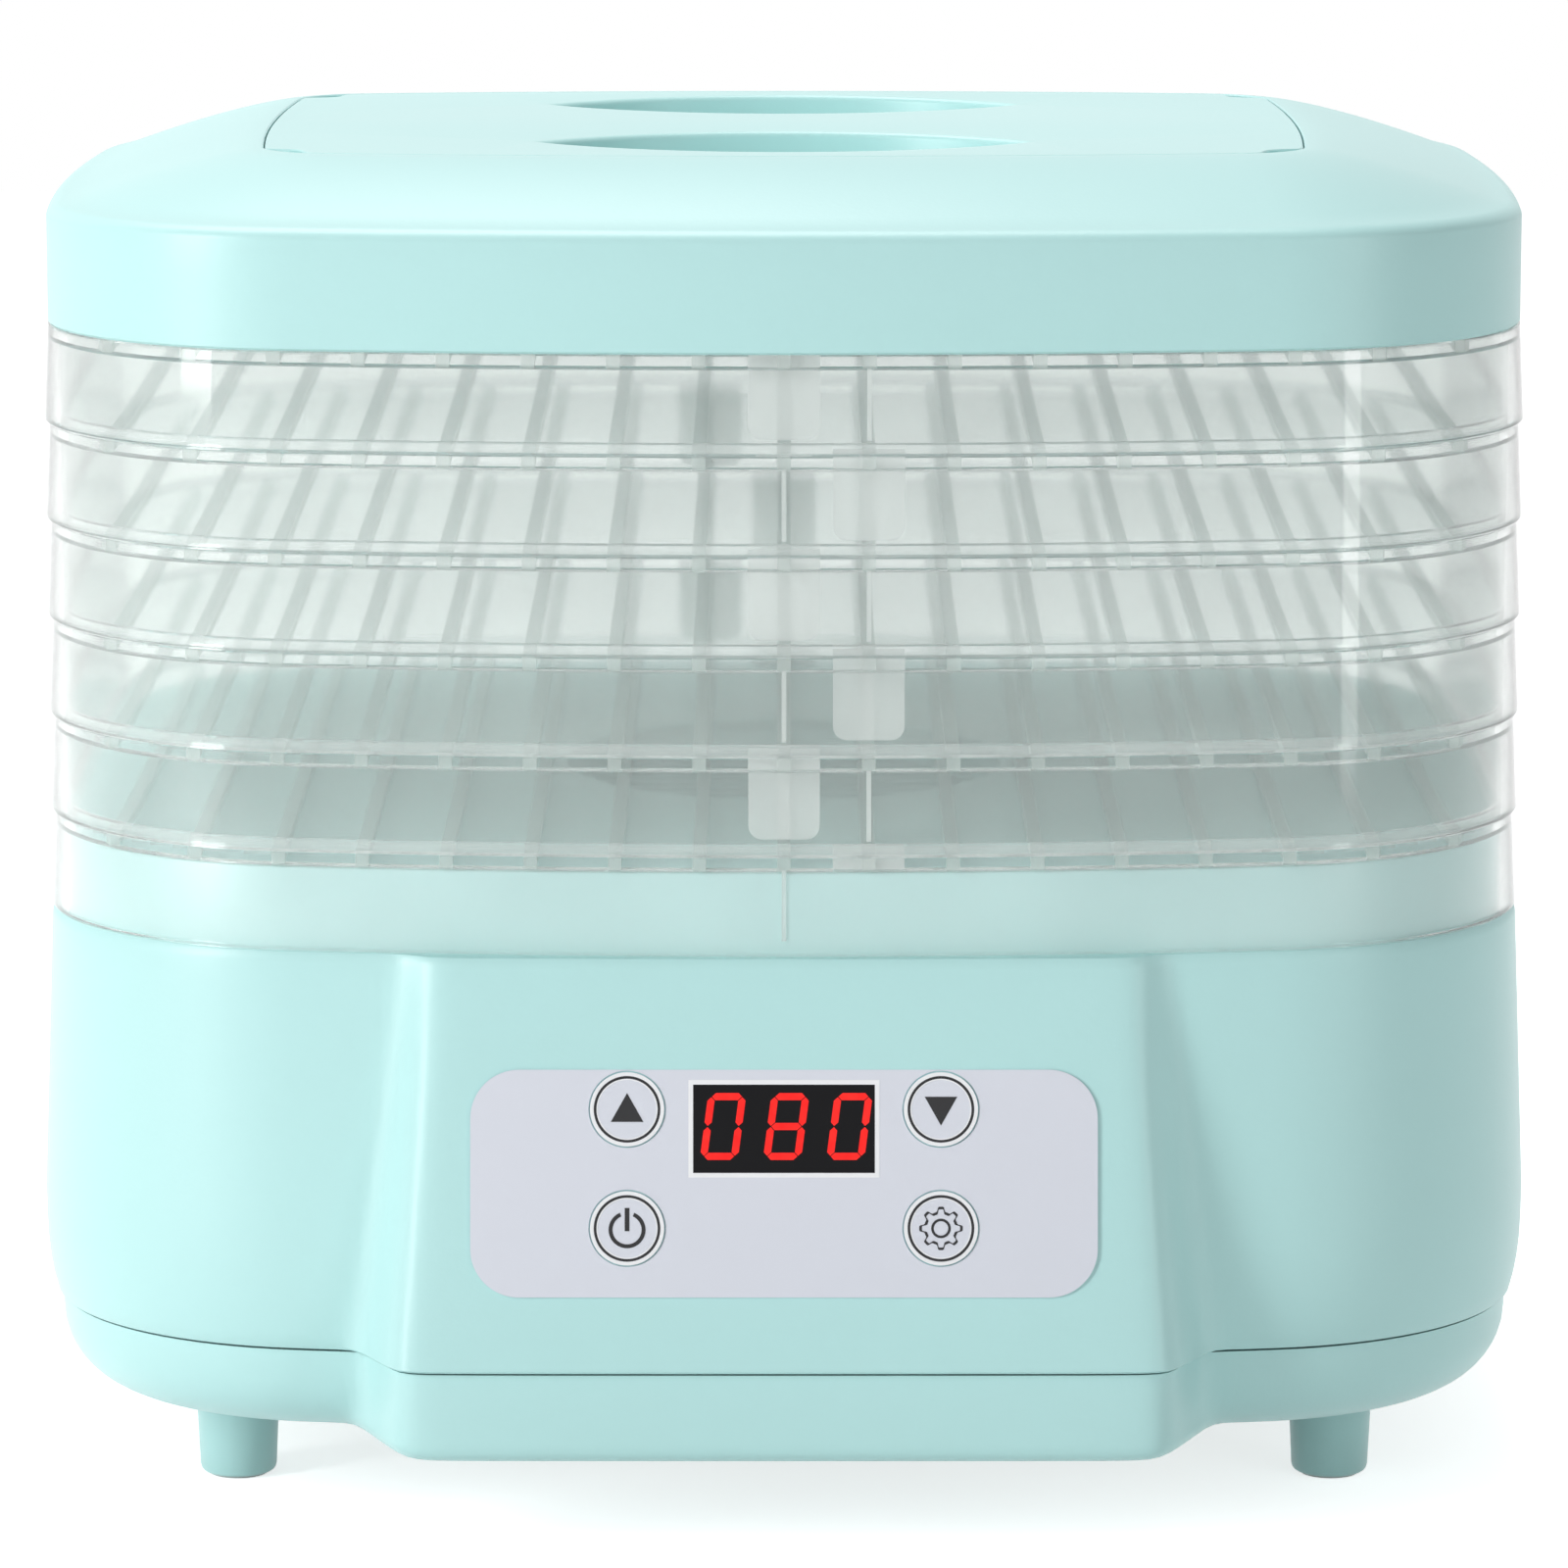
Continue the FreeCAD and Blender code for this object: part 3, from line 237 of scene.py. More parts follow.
def piece(bm, name, material, body, slot, *replaced):
    """Turns a bmesh into a finished piece that rides on body."""
    bmesh.ops.recalc_face_normals(bm, faces=bm.faces)
    for face in bm.faces:
        face.smooth = True
    mesh = bpy.data.meshes.new(name)
    bm.to_mesh(mesh)
    bm.free()
    mesh.set_sharp_from_angle(angle=SMOOTH_ANGLE)
    return dress(mesh, name, material, body, slot, *replaced)


def dress(mesh, name, material, body, slot, *replaced):
    for entry in material if isinstance(material, tuple) else (material,):
        mesh.materials.append(entry)
    thing = bpy.data.objects.new(name, mesh)
    bpy.context.scene.collection.objects.link(thing)
    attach(thing, body)
    if replaced:
        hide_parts(*replaced)
    return thing


def satin_group():
    """Fine spark-eroded grain and faint flow mottling of moulded plastic."""
    group = bpy.data.node_groups.new("satin_grain", "ShaderNodeTree")
    face = group.interface
    for label, kind, value in (("Grain Scale", "NodeSocketFloat", 900), ("Base Roughness", "NodeSocketFloat", 0.4)):
        face.new_socket(label, in_out="INPUT", socket_type=kind).default_value = value
    face.new_socket("Base Tint", in_out="INPUT", socket_type="NodeSocketColor")
    face.new_socket("Color", in_out="OUTPUT", socket_type="NodeSocketColor")
    face.new_socket("Roughness", in_out="OUTPUT", socket_type="NodeSocketFloat")
    face.new_socket("Height", in_out="OUTPUT", socket_type="NodeSocketFloat")
    make = group.nodes.new
    link = group.links.new
    enter = make("NodeGroupInput")
    leave = make("NodeGroupOutput")
    place = make("ShaderNodeTexCoord")
    grain = make("ShaderNodeTexNoise")
    grain.inputs["Detail"].default_value = 3
    link(place.outputs["Object"], grain.inputs["Vector"])
    link(enter.outputs["Grain Scale"], grain.inputs["Scale"])
    flow = make("ShaderNodeTexNoise")
    flow.inputs["Scale"].default_value = 9
    flow.inputs["Detail"].default_value = 2
    link(place.outputs["Object"], flow.inputs["Vector"])
    shade = make("ShaderNodeMapRange")
    shade.inputs["To Min"].default_value = 0.97
    shade.inputs["To Max"].default_value = 1.02
    link(flow.outputs["Fac"], shade.inputs["Value"])
    tint = make("ShaderNodeVectorMath")
    tint.operation = "SCALE"
    link(enter.outputs["Base Tint"], tint.inputs[0])
    link(shade.outputs["Result"], tint.inputs["Scale"])
    link(tint.outputs["Vector"], leave.inputs["Color"])
    rough = make("ShaderNodeMapRange")
    rough.inputs["To Min"].default_value = -0.04
    rough.inputs["To Max"].default_value = 0.04
    link(grain.outputs["Fac"], rough.inputs["Value"])
    total = make("ShaderNodeMath")
    link(rough.outputs["Result"], total.inputs[0])
    link(enter.outputs["Base Roughness"], total.inputs[1])
    link(total.outputs[0], leave.inputs["Roughness"])
    link(grain.outputs["Fac"], leave.inputs["Height"])
    return group


SATIN = satin_group()


def satin(name, colour, roughness, grain=900, bump=0.08, coat=0.0, metallic=0.0):
    """Moulded, cast or painted surface with fine grain."""
    material, tree, base = shader(name)
    grained = tree.nodes.new("ShaderNodeGroup")
    grained.node_tree = SATIN
    grained.inputs["Grain Scale"].default_value = grain
    grained.inputs["Base Roughness"].default_value = roughness
    grained.inputs["Base Tint"].default_value = (*colour, 1)
    relief = tree.nodes.new("ShaderNodeBump")
    relief.inputs["Strength"].default_value = bump
    relief.inputs["Distance"].default_value = 0.0004
    tree.links.new(grained.outputs["Height"], relief.inputs["Height"])
    tree.links.new(grained.outputs["Color"], base.inputs["Base Color"])
    tree.links.new(grained.outputs["Roughness"], base.inputs["Roughness"])
    tree.links.new(relief.outputs["Normal"], base.inputs["Normal"])
    base.inputs["Coat Weight"].default_value = coat
    base.inputs["Metallic"].default_value = metallic
    return material


mint = satin("mint_satin", (0.50, 0.80, 0.79), 0.36)
LID_Z, LID_TOP_Z = (corner.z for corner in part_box("lid_shell"))
LID_SKIRT = 23.5 * MM
LID_EDGE_R = 5.0 * MM
LID_EDGE_RISE = 3.0 * MM


def lid_crown(offset):
    """(inset, z) of the skirt, the rolled edge and the crowned slope, moved inwards by offset."""
    edge_z = LID_Z + LID_SKIRT
    rows = [(offset, LID_Z + 0.5 * MM), (offset, edge_z - 8 * MM)]
    for step in range(9):
        angle = math.radians(9.5 * step)
        drop = offset * 0.9
        rows.append((LID_EDGE_R * (1 - math.cos(angle)) + offset, edge_z + LID_EDGE_RISE * math.sin(angle) - drop))
    top = LID_TOP_Z - LID_EDGE_RISE - edge_z
    for step in range(1, 17):
        share = step / 16
        inset = LID_EDGE_R + (PLATEAU_INSET - LID_EDGE_R) * share + offset * 0.5
        rows.append((inset, edge_z + LID_EDGE_RISE + top * (1 - (1 - share) ** 1.35) - offset))
    return rows


bm = bmesh.new()
outer = lid_crown(0)
seat_z = LID_TOP_Z - PANEL_WALL
inner = lid_crown(SKIRT_WALL)
opening = PLATEAU_INSET + PANEL_LEDGE
profile = [(0.6 * MM, LID_Z)] + outer
profile += [(PLATEAU_INSET + 1.2 * MM, LID_TOP_Z), (PLATEAU_INSET + 1.5 * MM, LID_TOP_Z - 0.3 * MM)]
profile += [(PLATEAU_INSET + 1.5 * MM, seat_z)]
profile += [(opening, seat_z), (opening, seat_z - SKIRT_WALL)]
profile += list(reversed(inner[:-1])) + [(SKIRT_WALL - 0.4 * MM, LID_Z)]
skin(bm, [level(inset, z) for inset, z in profile], closed=True)
lid_cover = piece(bm, "lid_cover", mint, "lid", "mint_plastic", "lid_shell")

# Handle panel: a flat plate clipped into the lid, with two leaf-shaped finger pockets
# pressed down from it. The bar that stays between them is the handle.
POCKET_HALF = 54 * MM
POCKET_WIDE = 25 * MM
POCKET_MIDDLE = 50 * MM
POCKET_DEPTH = 17 * MM
POCKET_STEPS = 48
VENT_WIDTH = 4.5 * MM


def leaf(side, grow, z):
    """Leaf outline of one pocket: two equal arcs that meet in tips on the X axis."""
    half = POCKET_HALF + grow * 1.6
    wide = POCKET_WIDE + grow
    radius = (half ** 2 + wide ** 2) / (2 * wide)
    turn = math.asin(half / radius)
    points = []
    for sign in (1, -1):
        for i in range(POCKET_STEPS):
            angle = turn * (2 * i / POCKET_STEPS - 1)
            y = radius * math.cos(angle) - radius + wide
            points.append((sign * radius * math.sin(angle), side * POCKET_MIDDLE + sign * y, z))
    return points


VENT_SWEEP = 0.62          # share of each corner's arc that its crescent vent takes


def panel_rim(inset, z):
    """The panel's outline, drawn back in a crescent at each corner to leave a vent."""
    straight = plan(inset)
    drawn_back = plan(inset + VENT_WIDTH)
    points = []
    starts = []
    at = 0
    for steps in (FRONT_STEPS, CORNER_STEPS, SIDE_STEPS, CORNER_STEPS) * 2:
        if steps == CORNER_STEPS:
            starts.append(at)
        at += steps
    for i, (a, b) in enumerate(zip(straight, drawn_back)):
        share = 0
        for start in starts:
            off = abs((i - start) / CORNER_STEPS - 0.5) / (VENT_SWEEP / 2)
            share = max(share, 1 - off * off)
        points.append((a[0] + (b[0] - a[0]) * share, a[1] + (b[1] - a[1]) * share, z))
    return points


bm = bmesh.new()
panel_inset = PLATEAU_INSET + 1.5 * MM + SEAM_GAP
edge_rows = [panel_rim(panel_inset + 0.3 * MM, LID_TOP_Z), panel_rim(panel_inset, LID_TOP_Z - 0.3 * MM)]
rim, _ = skin(bm, edge_rows + [panel_rim(panel_inset, seat_z)])
ROUND = 1.4 * MM
tops = []
for side in (-1, 1):
    rows = []
    for step in range(6):
        angle = math.radians(90 * step / 5)
        rows.append((ROUND * (1 - math.sin(angle)), LID_TOP_Z - ROUND * (1 - math.cos(angle))))
    rows += [(-0.8 * MM, LID_TOP_Z - 9 * MM), (-1.5 * MM, LID_TOP_Z - POCKET_DEPTH + 2 * MM)]
    rows += [(-2.2 * MM, LID_TOP_Z - POCKET_DEPTH + 0.6 * MM), (-4 * MM, LID_TOP_Z - POCKET_DEPTH)]
    top_edges, bottom_edges = skin(bm, [leaf(side, grow, z) for grow, z in rows])
    cap(bm, bottom_edges)
    tops.append(top_edges)
bmesh.ops.triangle_fill(bm, use_beauty=True, use_dissolve=False, edges=rim + tops[0] + tops[1])
handle_panel = piece(bm, "handle_panel", mint, "lid", "mint_plastic", "lid_handle_panel")
thickness = handle_panel.modifiers.new("wall", "SOLIDIFY")
thickness.thickness = 1.6 * MM
thickness.offset = -1

# Clear trays: each is one moulding of clear styrene with a polished skirt, a slatted floor,
# a low lip that the next tray drops over, and a hanging tab at the front and the back.
TRAY_COUNT = 6
SKIRT_FLARE = 1.0 * MM
TRAY_FLOOR = 3.1 * MM
LIP_HEIGHT = tray_high.z - LID_Z
TRAY_PITCH = LID_Z - tray_low.z
LIP_INSET = 2.5 * MM
LIP_WALL = 1.2 * MM
SLAT_PITCH = 18.2 * MM
SLAT_WIDTH = 2.9 * MM
CROSS_PITCH = 3.64 * MM
CROSS_WIDTH = 0.9 * MM
CROSS_HEIGHT = 0.6 * MM
SLAT_END = 0.8 * MM        # how far inside the outline the slats and bars end
LIGHT_STOPPED = 0.06       # share of the light that one clear surface stops
TAB_WIDTH = 15.4 * MM
TAB_HEIGHT = 16.4 * MM
TAB_WALL = 1.6 * MM
TAB_INSET = 9.0 * MM
TAB_CORNER = 3.0 * MM
TAB_RIB = 2.4 * MM
TAB_RIB_DEPTH = 5.0 * MM
INDEX_RIB = 1.0 * MM


def cloud_group():
    """Faint clouding of clear plastic, which also makes its polish a little uneven."""
    group = bpy.data.node_groups.new("plastic_clouding", "ShaderNodeTree")
    face = group.interface
    face.new_socket("Base Tint", in_out="INPUT", socket_type="NodeSocketColor")
    face.new_socket("Base Roughness", in_out="INPUT", socket_type="NodeSocketFloat")
    face.new_socket("Color", in_out="OUTPUT", socket_type="NodeSocketColor")
    face.new_socket("Roughness", in_out="OUTPUT", socket_type="NodeSocketFloat")
    enter = group.nodes.new("NodeGroupInput")
    leave = group.nodes.new("NodeGroupOutput")
    place = group.nodes.new("ShaderNodeTexCoord")
    clouds = group.nodes.new("ShaderNodeTexNoise")
    clouds.inputs["Scale"].default_value = 38
    clouds.inputs["Detail"].default_value = 0
    group.links.new(place.outputs["Object"], clouds.inputs["Vector"])
    shade = group.nodes.new("ShaderNodeMapRange")
    shade.inputs["To Min"].default_value = 0.95
    shade.inputs["To Max"].default_value = 1.03
    group.links.new(clouds.outputs["Fac"], shade.inputs["Value"])
    for socket, kind in (("Base Tint", "Color"), ("Base Roughness", "Roughness")):
        scaled = group.nodes.new("ShaderNodeVectorMath")
        scaled.operation = "SCALE"
        group.links.new(enter.outputs[socket], scaled.inputs[0])
        group.links.new(shade.outputs["Result"], scaled.inputs["Scale"])
        group.links.new(scaled.outputs["Vector"], leave.inputs[kind])
    return group


CLOUDING = cloud_group()


def clear_plastic(name, roughness, haze, tint):
    """Clear plastic; haze is the share that scatters instead of passing through.

    It lets light in to the trays without bending it, so that they are evenly lit.
    """
    material, tree, base = shader(name)
    rays = tree.nodes.new("ShaderNodeLightPath")
    lit = tree.nodes.new("ShaderNodeMath")
    lit.operation = "MAXIMUM"
    tree.links.new(rays.outputs["Is Shadow Ray"], lit.inputs[0])
    tree.links.new(rays.outputs["Is Diffuse Ray"], lit.inputs[1])
    stopped = tree.nodes.new("ShaderNodeMapRange")
    stopped.inputs["To Min"].default_value = 1.0
    stopped.inputs["To Max"].default_value = LIGHT_STOPPED
    tree.links.new(lit.outputs[0], stopped.inputs["Value"])
    tree.links.new(stopped.outputs["Result"], base.inputs["Alpha"])
    base.inputs["Transmission Weight"].default_value = 1 - haze
    base.inputs["IOR"].default_value = 1.42
    mottling = tree.nodes.new("ShaderNodeGroup")
    mottling.node_tree = CLOUDING
    mottling.inputs["Base Roughness"].default_value = roughness
    mottling.inputs["Base Tint"].default_value = (*tint, 1)
    tree.links.new(mottling.outputs["Color"], base.inputs["Base Color"])
    tree.links.new(mottling.outputs["Roughness"], base.inputs["Roughness"])
    return material


def milky_plastic(name, colour, cover, roughness):
    """Thin frosted plastic: cover is the share of the light that it stops and scatters."""
    material, tree, base = shader(name)
    base.inputs["Alpha"].default_value = cover
    mottling = tree.nodes.new("ShaderNodeGroup")
    mottling.node_tree = CLOUDING
    mottling.inputs["Base Roughness"].default_value = roughness
    mottling.inputs["Base Tint"].default_value = (*colour, 1)
    tree.links.new(mottling.outputs["Color"], base.inputs["Base Color"])
    tree.links.new(mottling.outputs["Roughness"], base.inputs["Roughness"])
    return material


clear = clear_plastic("clear_skirt", 0.07, 0.10, (0.91, 0.935, 0.925))
# The rim's copy of the clear plastic is tinted whiter and hazier than the skirt: a painted highlight for the white
# background reflected along the rim.
rim_painted_highlight = clear_plastic("clear_rim_painted_highlight", 0.05, 0.12, (0.96, 0.985, 0.98))
slat_milk = milky_plastic("frosted_slats", (0.74, 0.84, 0.80), 0.30, 0.45)
bar_milk = milky_plastic("frosted_bars", (0.74, 0.87, 0.83), 0.14, 0.45)
tab_milk = milky_plastic("frosted_tabs", (0.86, 0.92, 0.90), 0.42, 0.3)
TRAY_PLASTICS = (clear, rim_painted_highlight, slat_milk, bar_milk, tab_milk)


def block(bm, x0, x1, y0, y1, z0, z1):
    """Plain bar between the given limits about the stack's axis."""
    size = Vector((x1 - x0, y1 - y0, z1 - z0))
    centre = Vector(((x0 + x1) / 2, (y0 + y1) / 2 + STACK_Y, (z0 + z1) / 2))
    matrix = Matrix.Translation(centre) @ Matrix.Diagonal(size).to_4x4()
    return bmesh.ops.create_cube(bm, size=1, matrix=matrix)["verts"]


def reach_y(x, inset):
    """Half the depth of the plan shape at x."""
    x = abs(x)
    front = HALF_DEPTH - FRONT_BOW + math.sqrt((FRONT_BOW - inset) ** 2 - x ** 2)
    over = x - CORNER_X
    if over <= 0:
        return front
    radius = CORNER_R - inset
    return min(front, CORNER_Y + math.sqrt(radius ** 2 - over ** 2)) if over < radius else 0


def reach_x(y, inset):
    """Half the width of the plan shape at y."""
    y = abs(y)
    side = HALF_WIDTH - SIDE_BOW + math.sqrt((SIDE_BOW - inset) ** 2 - y ** 2)
    over = y - CORNER_Y
    if over <= 0:
        return side
    radius = CORNER_R - inset
    return min(side, CORNER_X + math.sqrt(radius ** 2 - over ** 2)) if over < radius else 0


def hanging_tab(bm, x, side, top):
    """Thin plate with round lower corners and a rib on its inner face."""
    y = side * (HALF_DEPTH - TAB_INSET) + STACK_Y
    half = TAB_WIDTH / 2
    low = top - TAB_HEIGHT
    points = [(half, top), (-half, top)]
    for sign in (-1, 1):
        for step in range(6):
            turn = math.radians(90 * step / 5)
            if sign > 0:
                turn = math.pi / 2 - turn
            across = half - TAB_CORNER + TAB_CORNER * math.cos(turn)
            points.append((sign * across, low + TAB_CORNER - TAB_CORNER * math.sin(turn)))
    verts = [bm.verts.new((x + px, y - TAB_WALL / 2, pz)) for px, pz in points]
    plate = bm.faces.new(verts)
    grown = bmesh.ops.extrude_face_region(bm, geom=[plate])["geom"]
    bmesh.ops.translate(bm, vec=(0, TAB_WALL, 0), verts=[g for g in grown if isinstance(g, bmesh.types.BMVert)])
    rib_end = side * (HALF_DEPTH - TAB_INSET) - side * TAB_RIB_DEPTH
    rib_start = side * (HALF_DEPTH - TAB_INSET)
    block(bm, x - TAB_RIB / 2, x + TAB_RIB / 2, min(rib_start, rib_end), max(rib_start, rib_end), low, top)


def tray_mesh():
    """One tray about the stack's axis, with its floor's top face at the lid's foot."""
    bm = bmesh.new()
    top = LID_Z
    under = top - TRAY_FLOOR
    foot = top - TRAY_PITCH
    lip_top = top + LIP_HEIGHT
    lip_in = LIP_INSET + LIP_WALL
    soft = 0.35 * MM
    profile = [
        (0, top - soft), (soft, top), (LIP_INSET, top),
        (LIP_INSET, lip_top - soft), (LIP_INSET + soft, lip_top), (lip_in - soft, lip_top), (lip_in, lip_top - soft),
        (lip_in, under + soft), (lip_in - soft, under), (SKIRT_WALL + soft, under), (SKIRT_WALL, under - soft),
        (SKIRT_WALL, foot + soft), (SKIRT_WALL - soft, foot),
        (soft - SKIRT_FLARE, foot), (-SKIRT_FLARE, foot + soft),
    ]
    skin(bm, [level(inset, z) for inset, z in profile], closed=True)
    bmesh.ops.recalc_face_normals(bm, faces=bm.faces)
    for face in bm.faces:
        face.smooth = True
        # Faces at the floor and the lip take material 1, the rim plastic tinted whiter as a painted highlight.
        face.material_index = 1 if face.calc_center_median().z > under - 0.1 * MM else 0
    made = set(bm.faces)

    def finish_as(index):
        for face in bm.faces:
            if face not in made:
                face.material_index = index
                made.add(face)

    columns = int(HALF_WIDTH / SLAT_PITCH)
    for i in range(-columns, columns + 1):
        x = i * SLAT_PITCH
        reach = min(reach_y(x - SLAT_WIDTH / 2, SLAT_END), reach_y(x + SLAT_WIDTH / 2, SLAT_END))
        if reach > 0.02:
            block(bm, x - SLAT_WIDTH / 2, x + SLAT_WIDTH / 2, -reach, reach, under + 0.2 * MM, top - 0.2 * MM)
    finish_as(2)
    rows = int(HALF_DEPTH / CROSS_PITCH)
    for j in range(-rows, rows + 1):
        y = j * CROSS_PITCH
        reach = min(reach_x(y - CROSS_WIDTH / 2, SLAT_END), reach_x(y + CROSS_WIDTH / 2, SLAT_END))
        if reach > 0.02:
            block(bm, -reach, reach, y - CROSS_WIDTH / 2, y + CROSS_WIDTH / 2, top - CROSS_HEIGHT - 0.4 * MM, top - 0.4 * MM)
    finish_as(3)
    for x, side in ((0, -1), (-SLAT_PITCH, 1)):
        hanging_tab(bm, x, side, under + 0.3 * MM)
        deep = side * (HALF_DEPTH - TAB_INSET - TAB_RIB_DEPTH)
        edge = side * (HALF_DEPTH - LIP_INSET)
        block(bm, x - TAB_WIDTH / 2, x + TAB_WIDTH / 2, min(deep, edge), max(deep, edge), under + 0.25 * MM, top - 0.25 * MM)
    for x, side in ((SLAT_PITCH, -1), (0, 1)):
        edge = side * (HALF_DEPTH - SKIRT_WALL - 0.1 * MM)
        deep = side * (HALF_DEPTH - SKIRT_WALL - 2.2 * MM)
        block(bm, x - INDEX_RIB / 2, x + INDEX_RIB / 2, min(deep, edge), max(deep, edge), foot + 3.2 * MM, under)
    finish_as(4)
    mesh = bpy.data.meshes.new("tray")
    bm.to_mesh(mesh)
    bm.free()
    mesh.set_sharp_from_angle(angle=SMOOTH_ANGLE)
    return mesh


first_tray = tray_mesh()
for i in range(TRAY_COUNT):
    mesh = first_tray.copy()
    if (TRAY_COUNT - i) % 2:
        turn = Matrix.Translation((0, STACK_Y, 0)) @ Matrix.Rotation(math.pi, 4, "Z") @ Matrix.Translation((0, -STACK_Y, 0))
        mesh.transform(turn)
    mesh.transform(Matrix.Translation((0, 0, -i * TRAY_PITCH)))
    number = i + 1
    dress(mesh, "clear_tray_%d" % number, TRAY_PLASTICS, "tray_%d_body" % number, "clear_plastic", "tray_%d" % number)
bpy.data.meshes.remove(first_tray)

# Upper housing of the base: one mint moulding whose front swells into the leaning control
# face. The trays stand on its shoulder, around a collar that carries the deck.
BASE_STEPS = FRONT_STEPS
housing_low, housing_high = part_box("upper_housing")
SEAM_Z = housing_low.z
DECK_Z = housing_high.z
SHOULDER_Z = LID_Z - TRAY_COUNT * TRAY_PITCH
FLARE = 3.4 * MM
SEAM_OUT = 1.0 * MM
FLARE_Z = 65 * MM
COLLAR_INSET = LIP_INSET
FACE_LEAN = math.tan(math.radians(10))
FACE_FOOT_HALF = 84 * MM
FACE_TOP_HALF = 77 * MM
ROOT_FOOT_HALF = 94 * MM
ROOT_TOP_HALF = 81 * MM
CORNER_SOFT = 2.5 * MM
VALLEY_SOFT = 6 * MM


def soft_max(a, b, soft):
    """Larger of two lengths, with a round blend where they are closer than soft."""
    near = max(soft - abs(a - b), 0) / soft
    return max(a, b) + near * near * soft / 4


def soft_ramp(value, soft):
    """Zero below, value above, with a round knee of the given softness."""
    return (value + math.sqrt(value * value + soft * soft)) / 2


def swell(x, z, half, root, front, wall):
    """Depth of the control housing's surface in front of the axis at x."""
    steep = (front - wall) / max(root - half, 1e-6)
    return front - steep * soft_ramp(abs(x) - half, CORNER_SOFT) + steep * soft_ramp(-half, CORNER_SOFT)


def housing_level(inset, z, half, root, front, shrink=0.0):
    """Plan shape at one level, pushed out at the front by the control housing."""
    points = []
    wall = HALF_DEPTH - root ** 2 / (2 * FRONT_BOW)
    for x, y in plan(inset):
        if y < -CORNER_Y * 0.5 and abs(x) < root + 25 * MM:
            out = swell(x, z, half - shrink, root - shrink, front - shrink, wall)
            y = -soft_max(-y, out, VALLEY_SOFT)
        points.append((x, y, z))
    return points


def face_front(z):
    return HALF_DEPTH + SEAM_OUT + (SHOULDER_Z - z) * FACE_LEAN


def upper_level(inset, z, shrink=0.0):
    share = (z - SEAM_Z) / (SHOULDER_Z - SEAM_Z)
    half = FACE_FOOT_HALF + (FACE_TOP_HALF - FACE_FOOT_HALF) * share
    root = ROOT_FOOT_HALF + (ROOT_TOP_HALF - ROOT_FOOT_HALF) * share
    return housing_level(inset, z, half, root, face_front(z), shrink)


bm = bmesh.new()
rows = [(SKIRT_WALL - SEAM_OUT, SEAM_Z, 2.5 * MM), (0.5 * MM - SEAM_OUT, SEAM_Z, 0.6 * MM)]
rows += [(-SEAM_OUT, SEAM_Z + 0.5 * MM, 0), (-1.9 * MM, SEAM_Z + 4 * MM, 0), (-2.6 * MM, SEAM_Z + 8 * MM, 0)]
rows += [(-3.05 * MM, SEAM_Z + 12 * MM, 0), (-3.3 * MM, SEAM_Z + 17 * MM, 0), (-FLARE, FLARE_Z, 0)]
for step in range(1, 11):
    share = step / 10
    rows.append((-FLARE + (FLARE - SEAM_OUT) * share, FLARE_Z + (SHOULDER_Z - 2.5 * MM - FLARE_Z) * share, 0))
rows += [(-0.8 * MM, SHOULDER_Z - 1 * MM, 0.3 * MM), (-0.3 * MM, SHOULDER_Z - 0.2 * MM, 0.9 * MM)]
levels = [upper_level(inset, z, shrink) for inset, z, shrink in rows]
shoulder = [(0.4 * MM, SHOULDER_Z), (COLLAR_INSET - 0.5 * MM, SHOULDER_Z), (COLLAR_INSET, SHOULDER_Z + 0.5 * MM)]
collar = [(COLLAR_INSET, DECK_Z - 1.2 * MM), (COLLAR_INSET + 0.35 * MM, DECK_Z - 0.35 * MM), (COLLAR_INSET + 1.2 * MM, DECK_Z)]
levels += [level(inset, z) for inset, z in shoulder + collar]
levels.append(level(COLLAR_INSET + 30 * MM, DECK_Z))
OUTLET_R = 50 * MM
outline = plan(COLLAR_INSET + 30 * MM)


def outlet_level(radius, z):
    return [(radius * x / math.hypot(x, y), radius * y / math.hypot(x, y), z) for x, y in outline]


levels += [outlet_level(OUTLET_R + 0.6 * MM, DECK_Z), outlet_level(OUTLET_R, DECK_Z - 0.6 * MM)]
levels.append(outlet_level(OUTLET_R, DECK_Z - 2.5 * MM))
skin(bm, levels)
base_upper = piece(bm, "base_upper", mint, "base", "mint_plastic", "upper_housing")
thickness = base_upper.modifiers.new("wall", "SOLIDIFY")
thickness.thickness = 2.2 * MM
thickness.offset = -1

# Lower housing: a shallow mint dish with a big rolled edge, screwed on from below through
# its four moulded feet. Its front carries the bottom of the control housing.
FLOOR_Z = 21 * MM
LOWER_EDGE_R = 17 * MM
LOWER_HALF = 83.5 * MM
LOWER_ROOT = 91 * MM
LOWER_STEP = 1.6 * MM
LOWER_SOFT = 4 * MM
FOOT_X = 123 * MM
FOOT_Y = 75 * MM
FOOT_TOP_R = 9.4 * MM
FOOT_TIP_R = 8.5 * MM
PAD_PROUD = 0.5 * MM
FOOT_STEPS = 48


def lower_level(z):
    height = z - FLOOR_Z
    inset = 0.0
    if height < LOWER_EDGE_R:
        inset = LOWER_EDGE_R - math.sqrt(LOWER_EDGE_R ** 2 - (LOWER_EDGE_R - height) ** 2)
    shrink = 0.0
    if height < LOWER_SOFT:
        shrink = LOWER_SOFT - math.sqrt(LOWER_SOFT ** 2 - (LOWER_SOFT - height) ** 2)
    front = face_front(SEAM_Z) - LOWER_STEP
    return housing_level(inset + 0.2 * MM, z, LOWER_HALF, LOWER_ROOT, front, shrink)


